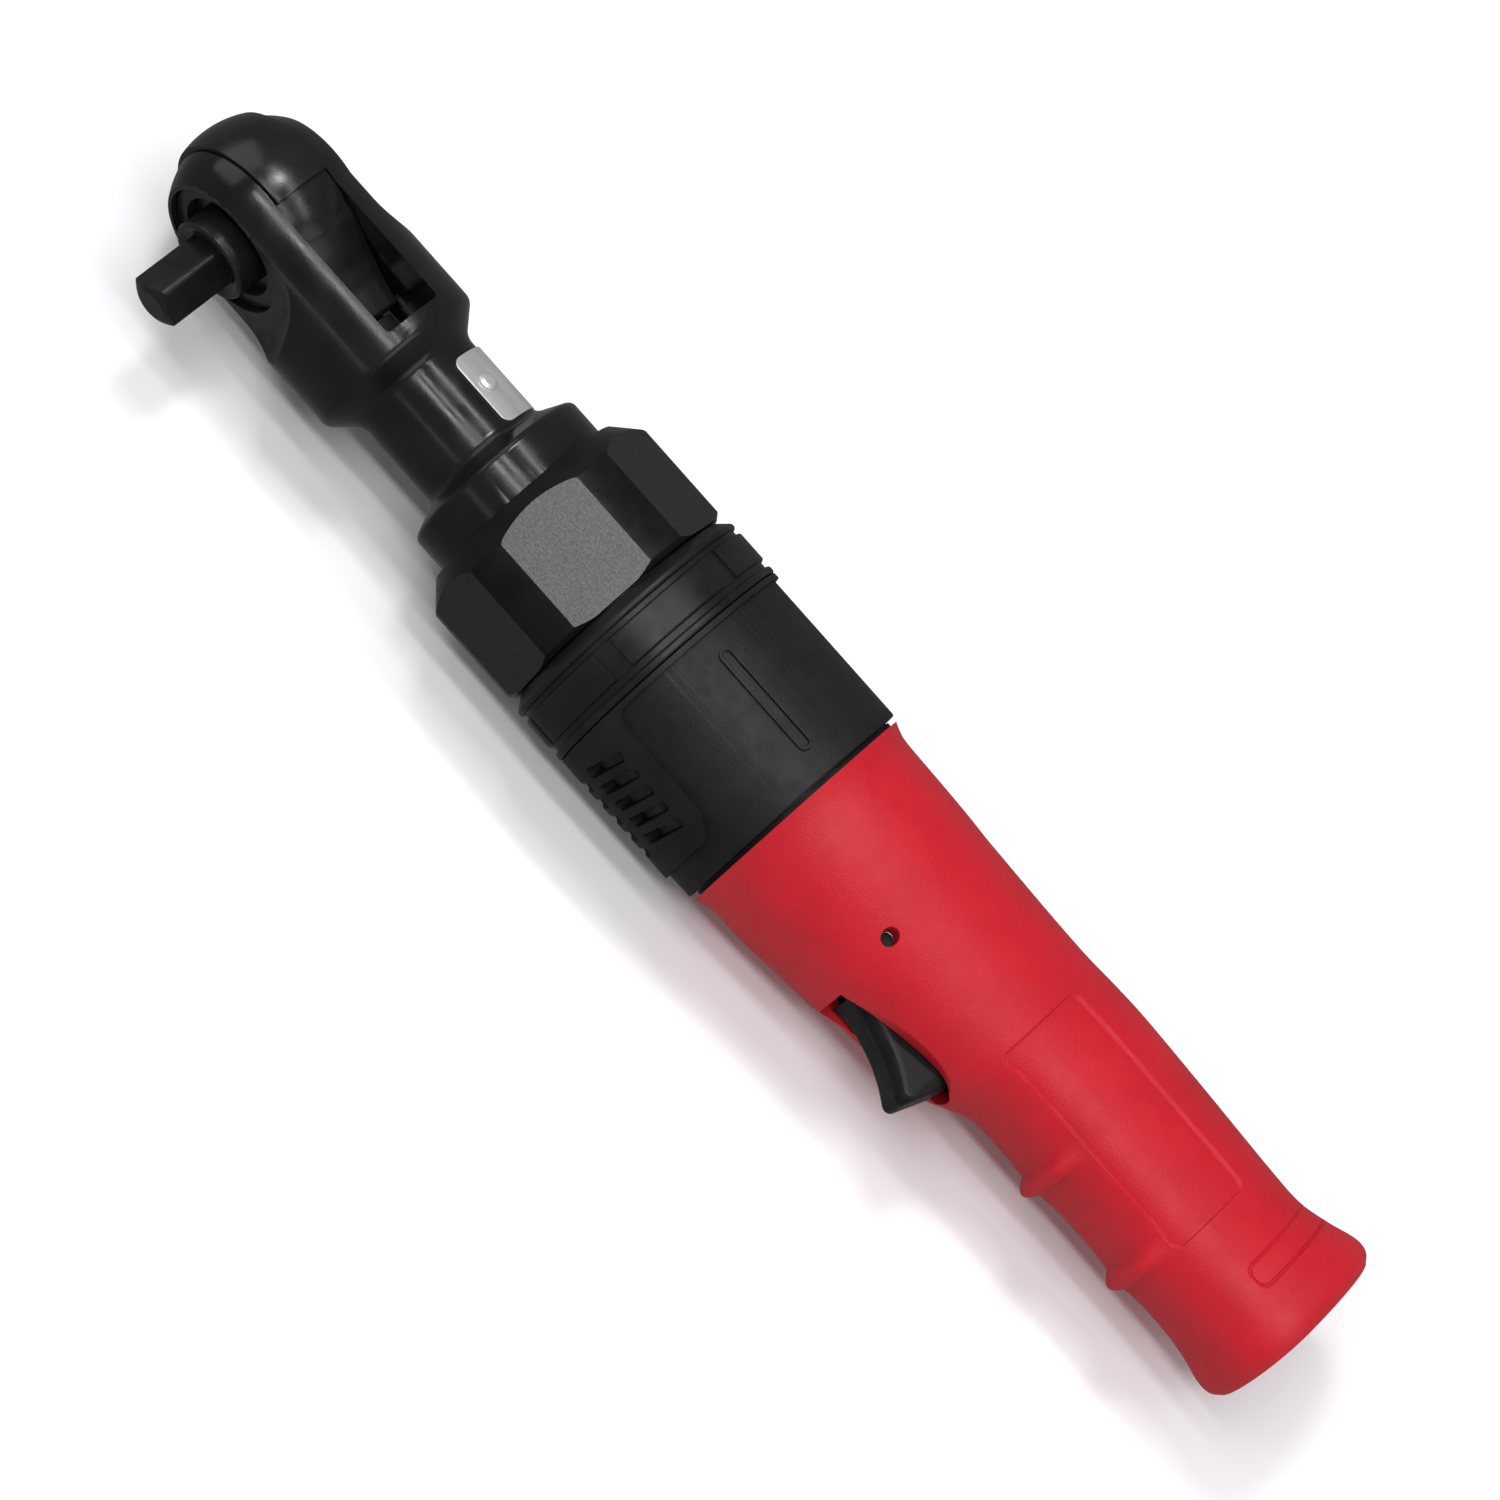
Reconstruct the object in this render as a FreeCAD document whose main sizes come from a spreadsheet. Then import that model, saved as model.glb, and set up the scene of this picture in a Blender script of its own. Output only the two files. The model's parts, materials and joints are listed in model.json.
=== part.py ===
import FreeCAD, Part
import Sketcher
import math
import os

# Air ratchet, millimetres. The pieces are drawn about the tool's own centre line: X runs from the
# square drive's axis towards the air inlet, the square drive points along -Y, and +Z is the side
# with the grip's blank panel. Every piece's Placement then moves it into the row frame, whose
# origin is the middle of the bottom of the whole tool's box, lying on its side.

V = FreeCAD.Vector
doc = FreeCAD.newDocument("air_ratchet")
sheet = doc.addObject("Spreadsheet::Sheet", "sizes")

SIZES = {
    # whole tool
    "tail_end": 315.8,
    "barrel_r": 29.8,
    # head casting: a ball-nosed bar, a neck and a clamping flange
    "head_r": 20.2,
    "nose_r": 21.0,
    "head_end": 41.0,
    "front_flat": 13.3,
    "rear_flat": 14.2,
    "spot_r": 20.6,
    "spot_runout": 4.6,
    "slot_front": 6.1,
    "slot_rear": 8.5,
    "slot_end": 37.9,
    "neck_r": 14.4,
    "neck_start": 46.5,
    "neck_end": 68.0,
    "flange_r": 21.8,
    "flange_start": 71.7,
    "shoulder_r": 24.0,
    "shoulder_start": 85.2,
    "head_back": 90.0,
    "crank_bore_r": 9.6,
    "crank_bore_end": 64.0,
    "carrier_bore_r": 18.6,
    "carrier_bore_start": 80.0,
    "plate_recess_r": 15.3,
    "plate_recess_floor": 11.0,
    # nameplate and its rivets
    "plate_offset": 3.4,
    "plate_length": 17.2,
    "plate_thickness": 0.5,
    "plate_wrap": 159.0,
    "rivet_x": 57.6,
    "rivet_r": 0.9,
    "rivet_head_r": 2.1,
    "rivet_head": 0.9,
    "rivet_depth": 3.0,
    # spindle and its bushes
    "spindle_r": 9.5,
    "spindle_face": 17.3,
    "core_r": 11.2,
    "journal_r": 7.0,
    "stub_r": 4.0,
    "square_side": 9.5,
    "square_corner": 1.0,
    "square_length": 15.9,
    "square_turn": 52.5,
    "bush_r": 11.7,
    "rear_bush_r": 9.0,
    "running_gap": 0.05,
    "side_gap": 0.2,
    # yoke, pawls and reverse knob
    "yoke_rim_r": 22.0,
    "yoke_flank_r": 20.35,
    "yoke_crown_end": 3.0,
    "yoke_teeth": 60,
    "yoke_tip_r": 13.0,
    "yoke_root_r": 13.9,
    "yoke_end": 31.8,
    "yoke_end_half": 5.3,
    "yoke_fork_half": 4.3,
    "yoke_fork_start": 22.4,
    "yoke_taper_start": 17.0,
    "yoke_taper": 1.7,
    "pawl_pivot": 7.0,
    "pawl_half": 3.6,
    "pawl_reach": 12.0,
    "pawl_pin_r": 1.5,
    "pawl_rest_angle": 3.0,
    "pawl_front_gap": 1.8,
    "pawl_rear_gap": 2.2,
    "knob_r": 10.5,
    "knob_height": 2.5,
    "knob_disc": 1.6,
    "knob_rib_half": 2.4,
    "knob_seat": 1.4,
    "detent_r": 0.6,
    "detent_x": 8.0,
    # crankshaft and planetary reduction
    "crank_throw": 1.6,
    "crank_pin_r": 1.4,
    "bushing_r": 2.4,
    "crank_face": 32.4,
    "crank_disc_r": 5.6,
    "crank_r": 6.5,
    "carrier_r": 16.0,
    "carrier_start": 83.5,
    "carrier_end": 89.6,
    "gear_module": 0.75,
    "sun_teeth": 12,
    "planet_teeth": 18,
    "ring_teeth": 48,
    "gear_start": 90.8,
    "gear_end": 102.4,
    "planet_pin_r": 2.0,
    # needle bearing
    "shell_start": 40.0,
    "shell_wall": 0.95,
    "needle_r": 1.0,
    "needle_length": 19.0,
    # clamp nut and rings on the barrel
    "nut_start": 80.5,
    "nut_end": 110.0,
    "nut_flats": 54.6,
    "nut_corner_r": 29.2,
    "nut_face_r": 24.2,
    "bead_start": 110.5,
    "bead_end": 115.1,
    "band_end": 122.5,
    "collar_end": 126.1,
    "band_groove_width": 5.2,
    # motor
    "case_r": 24.2,
    "case_bore_r": 21.4,
    "case_start": 90.2,
    "case_end": 165.2,
    "plate_start": 103.6,
    "cylinder_start": 110.5,
    "cylinder_end": 150.0,
    "chamber_r": 17.0,
    "chamber_offset": 1.3,
    "rotor_r": 15.4,
    "rear_plate_end": 157.0,
    "shaft_r": 5.5,
    "bearing_r": 11.0,
    "bearing_width": 5.4,
    "front_seat": 104.6,
    "rear_seat": 150.9,
    "race_inner_r": 7.0,
    "race_outer_r": 9.2,
    "ball_r": 1.05,
    "ball_circle_r": 8.1,
    "ball_count": 9,
    "vane_slot_floor": 8.2,
    "vane_count": 5,
    "vane_thickness": 1.5,
    "port_first": 132.0,
    "port_pitch": 9.0,
    "port_length": 5.0,
    # exhaust sleeve
    "sleeve_r": 28.5,
    "sleeve_bore_r": 26.4,
    "sleeve_start": 126.2,
    "sleeve_end": 165.0,
    "panel_r": 29.6,
    "panel_end": 158.8,
    "panel_angle": 79.0,
    "sleeve_turn": 4.5,
    "louvre_pitch": 4.48,
    "louvre_width": 2.5,
    "louvre_first": 133.5,
    "louvre_middle": 17.0,
    "louvre_long": 13.0,
    "louvre_slant": 9.5,
    # grip, handle core and inlet
    "grip_start": 166.2,
    "grip_wall": 3.6,
    "inlet_r": 5.7,
    "inlet_depth": 14.0,
    "inlet_passage_r": 4.5,
    "screen_thickness": 0.8,
    "inlet_seat": 297.1,
    "inlet_seat_r": 10.0,
    "inlet_y": 6.6,
    "air_bore_r": 5.0,
    # trigger and throttle valve
    "pin_x": 198.3,
    "pin_drop": 12.4,
    "pin_r": 1.6,
    "lever_half": 6.5,
    "lever_slot_half": 6.9,
    "notch_start": 200.6,
    "notch_end": 232.8,
    "lever_eye_r": 3.4,
    "lever_end": 229.6,
    "lever_round_r": 4.5,
    "slot_round_x": 225.0,
    "slot_floor": 9.9,
    "valve_x": 214.0,
    "valve_bore_r": 5.0,
    "valve_stem_r": 2.0,
    "valve_stem_low": 13.0,
    "valve_disc_r": 4.0,
    "valve_disc": 2.15,
    "spring_start": 2.5,
    "spring_length": 12.0,
}


def fill_sheet():
    for row, (alias, value) in enumerate(SIZES.items(), start=1):
        sheet.set(f"A{row}", alias)
        sheet.set(f"B{row}", str(value))
        sheet.setAlias(f"B{row}", alias)
    doc.recompute()


fill_sheet()


def size(expression):
    """The value of an expression written with the sheet's aliases."""
    return float(sheet.evalExpression(bound(expression)))


def bound(expression):
    """An expression with every alias written as a cell of the sheet."""
    words = str(expression).replace("(", "( ").replace(")", " )").split()
    return " ".join(f"sizes.{word}" if word in SIZES else word for word in words)


def bind(item, prop, expression):
    item.setExpression(prop, bound(expression))


# ---------------------------------------------------------------- building blocks

AXIS_TURN = {
    "x": FreeCAD.Rotation(V(0, 1, 0), 90),
    "y": FreeCAD.Rotation(V(1, 0, 0), -90),
    "z": FreeCAD.Rotation(),
}


def place(item, x=0, y=0, z=0, rotation=None):
    if rotation is not None:
        item.Placement = FreeCAD.Placement(V(), rotation)
    for axis, value in zip("xyz", (x, y, z)):
        bind(item, f"Placement.Base.{axis}", value)


def cylinder(name, radius, length, axis="x", x=0, y=0, z=0, angle=None, turn=0.0):
    """A cylinder that starts at x, y, z and runs along the given axis."""
    item = doc.addObject("Part::Cylinder", name)
    bind(item, "Radius", radius)
    bind(item, "Height", length)
    if angle is not None:
        bind(item, "Angle", angle)
    spin = FreeCAD.Rotation(V(0, 0, 1), turn)
    place(item, x, y, z, AXIS_TURN[axis].multiply(spin))
    return item


def box(name, x, y, z, rotation=None):
    """A box between pairs of expressions, one pair for each axis."""
    item = doc.addObject("Part::Box", name)
    for prop, (low, high) in zip(("Length", "Width", "Height"), (x, y, z)):
        bind(item, prop, f"{high} - ( {low} )")
    place(item, x[0], y[0], z[0], rotation)
    return item


def sphere(name, radius, x=0, y=0, z=0):
    item = doc.addObject("Part::Sphere", name)
    bind(item, "Radius", radius)
    place(item, x, y, z)
    return item


def cone(name, first, last, length, axis="x", x=0, y=0, z=0):
    item = doc.addObject("Part::Cone", name)
    bind(item, "Radius1", first)
    bind(item, "Radius2", last)
    bind(item, "Height", length)
    place(item, x, y, z, AXIS_TURN[axis])
    return item


def fuse(name, items):
    item = doc.addObject("Part::MultiFuse", name)
    item.Shapes = items
    return item


def common(name, items):
    item = doc.addObject("Part::MultiCommon", name)
    item.Shapes = items
    return item


def cut(name, base, tools):
    tool = tools[0] if len(tools) == 1 else fuse(f"{name}_tools", tools)
    item = doc.addObject("Part::Cut", name)
    item.Base = base
    item.Tool = tool
    return item


def tube(name, outer, inner, start, end, axis="x", y=0, z=0):
    """A plain ring along X, or along Y from start to end."""
    at = {"x": start} if axis == "x" else {"y": start}
    if axis == "x":
        at["y"] = y
        at["z"] = z
    length = f"{end} - ( {start} )"
    whole = cylinder(f"{name}_outer", outer, length, axis, **at)
    hole = cylinder(f"{name}_hole", inner, length, axis, **at)
    return cut(name, whole, [hole])


def origin_part(body, role):
    return next(f for f in body.Origin.OriginFeatures if f.Role == role)


def sketch_outline(sketch, outline):
    """A closed polygon whose corners are pinned to the sheet, as (along, across) expressions."""
    points = [V(size(u), size(v), 0) for u, v in outline]
    count = len(points)
    for i in range(count):
        sketch.addGeometry(Part.LineSegment(points[i], points[(i + 1) % count]), False)
    for i in range(count):
        sketch.addConstraint(Sketcher.Constraint("Coincident", i, 2, (i + 1) % count, 1))
    for i, (u, v) in enumerate(outline):
        for kind, value, expression in (("X", points[i].x, u), ("Y", points[i].y, v)):
            if abs(value) < 1e-9:
                other = -2 if kind == "X" else -1
                sketch.addConstraint(Sketcher.Constraint("PointOnObject", i, 1, other))
                continue
            index = sketch.addConstraint(
                Sketcher.Constraint(f"Distance{kind}", -1, 1, i, 1, value)
            )
            sketch.renameConstraint(index, f"p{i}{kind.lower()}")
            bind(sketch, f"Constraints.p{i}{kind.lower()}", expression)


def new_sketch(body, name, plane):
    sketch = body.newObject("Sketcher::SketchObject", name)
    sketch.AttachmentSupport = [(origin_part(body, plane), "")]
    sketch.MapMode = "FlatFace"
    return sketch


def turned(name, outline, axis="H_Axis"):
    """A body turned from an (along, radius) outline, about X, or about Y for V_Axis."""
    body = doc.addObject("PartDesign::Body", name)
    sketch = new_sketch(body, f"{name}_profile", "XY_Plane")
    sketch_outline(sketch, outline)
    turn = body.newObject("PartDesign::Revolution", f"{name}_turn")
    turn.Profile = sketch
    turn.ReferenceAxis = (sketch, [axis])
    turn.Angle = 360.0
    sketch.Visibility = False
    return body


def padded(name, outline, plane, start, depth):
    """A body padded from an outline in XY along Z, or in XZ along -Y, from start for depth."""
    body = doc.addObject("PartDesign::Body", name)
    sketch = new_sketch(body, f"{name}_profile", plane)
    bind(sketch, "AttachmentOffset.Base.z", start)
    sketch_outline(sketch, outline)
    pad = body.newObject("PartDesign::Pad", f"{name}_pad")
    pad.Profile = sketch
    bind(pad, "Length", depth)
    return body


def rounded(body, radius, x, r):
    """Rounds the circular edge of a turned body that has the given station and radius."""
    doc.recompute()
    names = [
        f"Edge{number}"
        for number, edge in enumerate(body.Tip.Shape.Edges, start=1)
        if isinstance(edge.Curve, Part.Circle)
        and abs(edge.Curve.Center.x - size(x)) < 1e-3
        and abs(edge.Curve.Radius - size(r)) < 1e-3
    ]
    assert len(names) == 1, (body.Name, x, r, names)
    sharp = body.Tip
    fillet = body.newObject("PartDesign::Fillet", f"{body.Name}_round_{len(body.Group)}")
    fillet.Base = (sharp, names)
    bind(fillet, "Radius", radius)
    body.Tip = fillet


def solid(name, shape):
    """A feature whose own Placement stays free: the shape's place is kept inside a compound."""
    item = doc.addObject("Part::Feature", name)
    item.Shape = Part.makeCompound([shape])
    return item


def polar(count, radius, start=0.0):
    """Places at equal angles round the X axis, from +Y towards +Z."""
    for i in range(int(count)):
        angle = math.radians(start + 360.0 * i / int(count))
        yield radius * math.cos(angle), radius * math.sin(angle), math.degrees(angle)


def clock(degrees, radius):
    """Y and Z of a point round the X axis, its angle counted from +Z towards -Y."""
    angle = math.radians(degrees)
    return -radius * math.sin(angle), radius * math.cos(angle)


def disc_face(points):
    return Part.Face(Part.makePolygon(points + [points[0]]))


def coil(radius, wire, length, turns):
    """A coil spring along Z."""
    pitch = length / turns
    helix = Part.makeHelix(pitch, length, radius)
    ring = Part.Wire([Part.makeCircle(wire, V(radius, 0, 0), V(0, 1, 0))])
    return Part.Wire(helix.Edges).makePipeShell([ring], True, True)


# ---------------------------------------------------------------- sub-parts

parts = []


def subpart(item, label):
    """Names a finished piece and moves it from the tool's own axes into the row frame."""
    item.Label = label
    bind(item, "Placement.Base.x", "( yoke_rim_r - tail_end ) / 2")
    bind(item, "Placement.Base.y", "( spindle_face + square_length - barrel_r ) / 2")
    bind(item, "Placement.Base.z", "barrel_r")
    parts.append(item)
    return item


# The head casting
def head_bar():
    bar = turned(
        "head_bar",
        [
            ("0", "0"),
            ("0", "head_r"),
            ("head_end", "head_r"),
            ("neck_start", "neck_r"),
            ("neck_end", "neck_r"),
            ("flange_start", "flange_r"),
            ("shoulder_start", "flange_r"),
            ("shoulder_start", "shoulder_r"),
            ("head_back", "shoulder_r"),
            ("head_back", "0"),
        ],
    )
    rounded(bar, "3", "neck_start", "neck_r")
    rounded(bar, "3", "head_end", "head_r")
    rounded(bar, "2", "neck_end", "neck_r")
    rounded(bar, "2", "flange_start", "flange_r")
    return bar


def head_outside_cutters():
    """What shapes the head from outside: a spot face with a run-out, a rear flat and the slot."""
    spot = turned(
        "front_spot_cutter",
        [
            ("0", "0 - 30"),
            ("0", "0 - front_flat"),
            ("spot_r", "0 - front_flat"),
            ("spot_r + spot_runout * 0.35", "0 - front_flat - spot_runout * 0.25"),
            ("spot_r + spot_runout * 0.8", "0 - front_flat - spot_runout * 0.8"),
            ("spot_r + spot_runout", "0 - 30"),
        ],
        "V_Axis",
    )
    back = cylinder("rear_spot_cutter", "spot_r + 3", "20", "y", y="rear_flat")
    slot = box(
        "yoke_slot", ("0 - 40", "slot_end"), ("0 - slot_front", "slot_rear"), ("0 - 40", "40")
    )
    recess = cylinder("plate_recess", "plate_recess_r", "20", "y", y="0 - plate_recess_floor - 20")
    return [spot, back, slot, recess]


def head_bores():
    """The bushes' holes, the crankshaft's bore and the room for its carrier."""
    bush_hole = cylinder("bush_hole", "bush_r", "30", "y", y="0 - 30")
    rear_hole = cylinder("rear_bush_hole", "rear_bush_r", "30", "y")
    crank_hole = cylinder("crank_hole", "crank_bore_r", "crank_bore_end - 30", x="30")
    passage = cone(
        "carrier_taper", "crank_bore_r", "carrier_bore_r - 2", "carrier_bore_start - crank_bore_end",
        x="crank_bore_end",
    )
    chamber = cylinder("carrier_chamber", "carrier_bore_r", "20", x="carrier_bore_start")
    return [bush_hole, rear_hole, crank_hole, passage, chamber]


def head_housing():
    whole = fuse("head_whole", [head_bar(), sphere("head_nose", "nose_r")])
    tools = head_outside_cutters() + head_bores() + rivet_holes("head_rivet_hole")
    subpart(cut("head_cut", whole, tools), "head_housing")


RIVET_ANGLE = 65.0


def rivet_cylinder(name, side, radius, start, length):
    """A cylinder standing on the neck, on the +Y side, RIVET_ANGLE either way round from +Y."""
    angle = math.radians(side * RIVET_ANGLE)
    out = V(0, math.cos(angle), math.sin(angle))
    item = doc.addObject("Part::Cylinder", name)
    bind(item, "Radius", radius)
    bind(item, "Height", length)
    rotation = FreeCAD.Rotation(V(0, 0, 1), out)
    place(item, "rivet_x", f"( {start} ) * {out.y:.6f}", f"( {start} ) * {out.z:.6f}", rotation)
    return item


def rivet_holes(name):
    return [
        rivet_cylinder(f"{name}_{i}", side, "rivet_r", "neck_r - rivet_depth", "6")
        for i, side in enumerate((-1, 1))
    ]


def nameplate():
    sector = cylinder(
        "plate_sector", "neck_r + plate_thickness", "plate_length", x="neck_start + plate_offset",
        angle="plate_wrap", turn=90 - SIZES["plate_wrap"] / 2,
    )
    inner = cylinder("plate_inner", "neck_r", "plate_length + 20", x="neck_start + plate_offset - 10")
    subpart(cut("plate_cut", sector, [inner] + rivet_holes("plate_hole")), "nameplate")
    rivets = []
    for i, side in enumerate((-1, 1)):
        head = rivet_cylinder(
            f"rivet_head_{i}", side, "rivet_head_r", "neck_r + plate_thickness", "rivet_head"
        )
        shank = rivet_cylinder(
            f"rivet_shank_{i}", side, "rivet_r", "neck_r - rivet_depth",
            "rivet_depth + plate_thickness + 0.1",
        )
        rivets += [head, shank]
    subpart(fuse("rivets", rivets), "nameplate_rivets")


# Spindle, bushes and what they carry
def spindle():
    stock = turned(
        "spindle_stock",
        [
            ("0", "0 - spindle_face"),
            ("spindle_r - 0.6", "0 - spindle_face"),
            ("spindle_r", "0 - spindle_face + 0.6"),
            ("spindle_r", "0 - slot_front - side_gap"),
            ("spindle_r", "0 - slot_front + side_gap"),
            ("core_r", "0 - slot_front + side_gap"),
            ("core_r", "slot_rear - side_gap"),
            ("journal_r", "slot_rear - side_gap"),
            ("journal_r", "rear_flat - 0.2"),
            ("stub_r", "rear_flat - 0.2"),
            ("stub_r", "rear_flat + knob_seat - 0.2"),
            ("0", "rear_flat + knob_seat - 0.2"),
        ],
        "V_Axis",
    )
    pockets = [
        box(
            f"pawl_pocket_{i}", (low, high),
            ("0 - slot_front + 1.6", "slot_rear - 2"), ("0 - pawl_half - 1", "pawl_half + 1"),
        )
        for i, (low, high) in enumerate((("3.2", "12.5"), ("0 - 12.5", "0 - 3.2")))
    ]
    pins = [
        cylinder(f"pawl_pin_hole_{i}", "pawl_pin_r", "13", "y", x=x, y="0 - slot_front + 0.4")
        for i, x in enumerate(("pawl_pivot", "0 - pawl_pivot"))
    ]
    spring_hole = cylinder("pawl_spring_hole", "1.7", "8", x="0 - 4", y="1")
    ball_hole = sphere("ball_seat", "1.75", *ball_place())
    whole = fuse("spindle_whole", [stock, square_drive()])
    subpart(cut("spindle_cut", whole, pockets + pins + [spring_hole, ball_hole]), "spindle")
    ball = sphere("socket_ball_solid", "1.7", *ball_place())
    subpart(fuse("socket_ball_group", [ball, sphere("ball_core", "1", *ball_place())]), "socket_ball")


def square_drive():
    """The square with its rounded corners and chamfered tip, turned about the drive's axis."""
    square = doc.addObject("Part::Box", "square_stock")
    for prop in ("Length", "Height"):
        bind(square, prop, "square_side")
    bind(square, "Width", "square_length + 2")
    turn = FreeCAD.Rotation(V(0, 1, 0), SIZES["square_turn"])
    corner = turn.multVec(V(-SIZES["square_side"] / 2, 0, -SIZES["square_side"] / 2))
    place(square, f"{corner.x:.5f}", "0 - spindle_face - square_length", f"{corner.z:.5f}", turn)
    doc.recompute()
    round_corners = doc.addObject("Part::Fillet", "square_corners")
    round_corners.Base = square
    upright = [
        (number, SIZES["square_corner"], SIZES["square_corner"])
        for number, edge in enumerate(square.Shape.Edges, start=1)
        if abs(edge.tangentAt(edge.FirstParameter).y) > 0.99
    ]
    round_corners.Edges = upright
    tip = turned(
        "square_tip_cone",
        [
            ("0", "0 - spindle_face - square_length"),
            ("square_side * 0.38", "0 - spindle_face - square_length"),
            ("square_side * 0.69", "0 - spindle_face - square_length + 1.3"),
            ("square_side * 0.72", "0 - spindle_face - square_length + 1.6"),
            ("square_side * 0.72", "0"),
            ("0", "0"),
        ],
        "V_Axis",
    )
    return common("square_drive_end", [round_corners, tip])


def ball_place():
    """The middle of the socket ball, just inside the drive face that looks away from +Z."""
    out = FreeCAD.Rotation(V(0, 1, 0), SIZES["square_turn"]).multVec(V(0, 0, -1))
    reach = "( square_side / 2 - 1.2 )"
    return f"{reach} * {out.x:.6f}", "0 - spindle_face - square_length / 2", f"{reach} * {out.z:.6f}"


def head_small_parts():
    front = tube(
        "front_bush_ring", "bush_r", "spindle_r + running_gap", "0 - 9.4", "0 - slot_front - 0.1", "y"
    )
    subpart(front, "front_bush")
    rear = tube(
        "rear_bush_ring", "rear_bush_r", "journal_r + running_gap", "slot_rear + 0.1",
        "rear_flat - 0.2", "y",
    )
    subpart(rear, "rear_bush")
    retainer = tube(
        "plate_ring", "plate_recess_r - 0.05", "bush_r + 0.3", "0 - 11.8", "0 - plate_recess_floor", "y"
    )
    subpart(retainer, "retainer_plate")
    pins = [
        cylinder(f"pawl_pin_{i}", "pawl_pin_r", "12.4", "y", x=x, y="0 - slot_front + 0.7")
        for i, x in enumerate(("pawl_pivot", "0 - pawl_pivot"))
    ]
    subpart(fuse("pawl_pin_pair", pins), "pawl_pins")
    spring = coil(1.3, 0.22, 6.0, 7)
    spring.rotate(V(), V(0, 1, 0), 90)
    spring.translate(V(-3.0, 1.0, 0))
    subpart(solid("pawl_spring_coil", spring), "pawl_spring")


def pawl(side, label):
    """A two-ended rocker on its own pin, short of the yoke's teeth, as it is when it overruns."""
    sign = "" if side > 0 else "0 - "
    low, high = ("3.9", "pawl_reach") if side > 0 else ("0 - pawl_reach", "0 - 3.9")
    block = box(
        f"{label}_block", (low, high),
        ("0 - slot_front + pawl_front_gap", "slot_rear - pawl_rear_gap"), ("0 - pawl_half", "pawl_half"),
    )
    rim = cylinder(f"{label}_rim", "pawl_reach + 0.4", "40", "y", y="0 - 20")
    hole = cylinder(
        f"{label}_hole", "pawl_pin_r + running_gap", "30", "y", x=f"{sign}pawl_pivot", y="0 - 15"
    )
    notch = cylinder(f"{label}_notch", "1.6", "30", "y", x=f"{sign}( pawl_reach + 0.6 )", y="0 - 15")
    shape = cut(f"{label}_cut", common(f"{label}_body", [block, rim]), [hole, notch])
    doc.recompute()
    # rocked about its pin, so that one end leads
    pivot = V(side * SIZES["pawl_pivot"], 0, 0)
    rocked = shape.Shape.copy()
    rocked.rotate(pivot, V(0, 1, 0), -side * SIZES["pawl_rest_angle"])
    subpart(solid(f"{label}_rocked", rocked), label)


def reverse_knob():
    disc = cylinder("knob_disc_solid", "knob_r", "knob_disc", "y", y="rear_flat + 0.15")
    rib = box(
        "knob_rib", ("0 - knob_r + 1", "knob_r - 1"), ("rear_flat + 0.15", "rear_flat + knob_height"),
        ("0 - knob_rib_half", "knob_rib_half"),
    )
    hole = cylinder("knob_hole", "stub_r + running_gap", "knob_seat", "y", y="rear_flat")
    detent_y = "rear_flat + detent_r + 0.25"
    detent = sphere("knob_detent_seat", "detent_r + 0.1", "detent_x", detent_y)
    subpart(cut("knob_cut", fuse("knob_whole", [disc, rib]), [hole, detent]), "reverse_knob")
    subpart(sphere_part("knob_detent_ball", "detent_r", ("detent_x", detent_y, "0")), "knob_detent")


def sphere_part(name, radius, at):
    ball = sphere(f"{name}_solid", radius, *at)
    return fuse(name, [ball, sphere(f"{name}_core", f"{radius} / 2", *at)])


# The yoke: a toothed ring with a forked tail
def tooth_ring(teeth, root, tip, low, high):
    """A prism along Y with pointed teeth standing outwards from root to tip."""
    points = []
    for i in range(int(teeth)):
        for share, radius in ((0.0, root), (0.5, tip)):
            angle = 2 * math.pi * (i + share) / int(teeth)
            points.append(V(radius * math.cos(angle), low, radius * math.sin(angle)))
    return disc_face(points).extrude(V(0, high - low, 0))


def yoke_tail(low, high):
    """The tail's plan, thinned towards its end by a taper on both faces."""
    plan = [("2", "19"), ("12.8", "15.6"), ("17", "12.1"), ("21", "9.3"), ("25.4", "7.1")]
    plan.append(("yoke_end", "yoke_end_half"))
    mirrored = [(x, f"0 - {z}") for x, z in plan]
    tail = padded(
        "yoke_tail", mirrored + plan[::-1], "XZ_Plane", f"0 - ( {high} )", f"{high} - ( {low} )"
    )
    tapers = []
    for name, face, way in (("top", high, "-"), ("bottom", low, "+")):
        outward = "+" if way == "-" else "-"
        wedge = [
            ("yoke_taper_start", face),
            ("yoke_end", f"{face} {way} yoke_taper"),
            ("yoke_end + 4", f"{face} {way} yoke_taper"),
            ("yoke_end + 4", f"{face} {outward} 2"),
            ("yoke_taper_start", f"{face} {outward} 2"),
        ]
        tapers.append(padded(f"yoke_taper_{name}", wedge, "XY_Plane", "0 - 20", "40"))
    return cut("yoke_tail_cut", tail, tapers)


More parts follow.
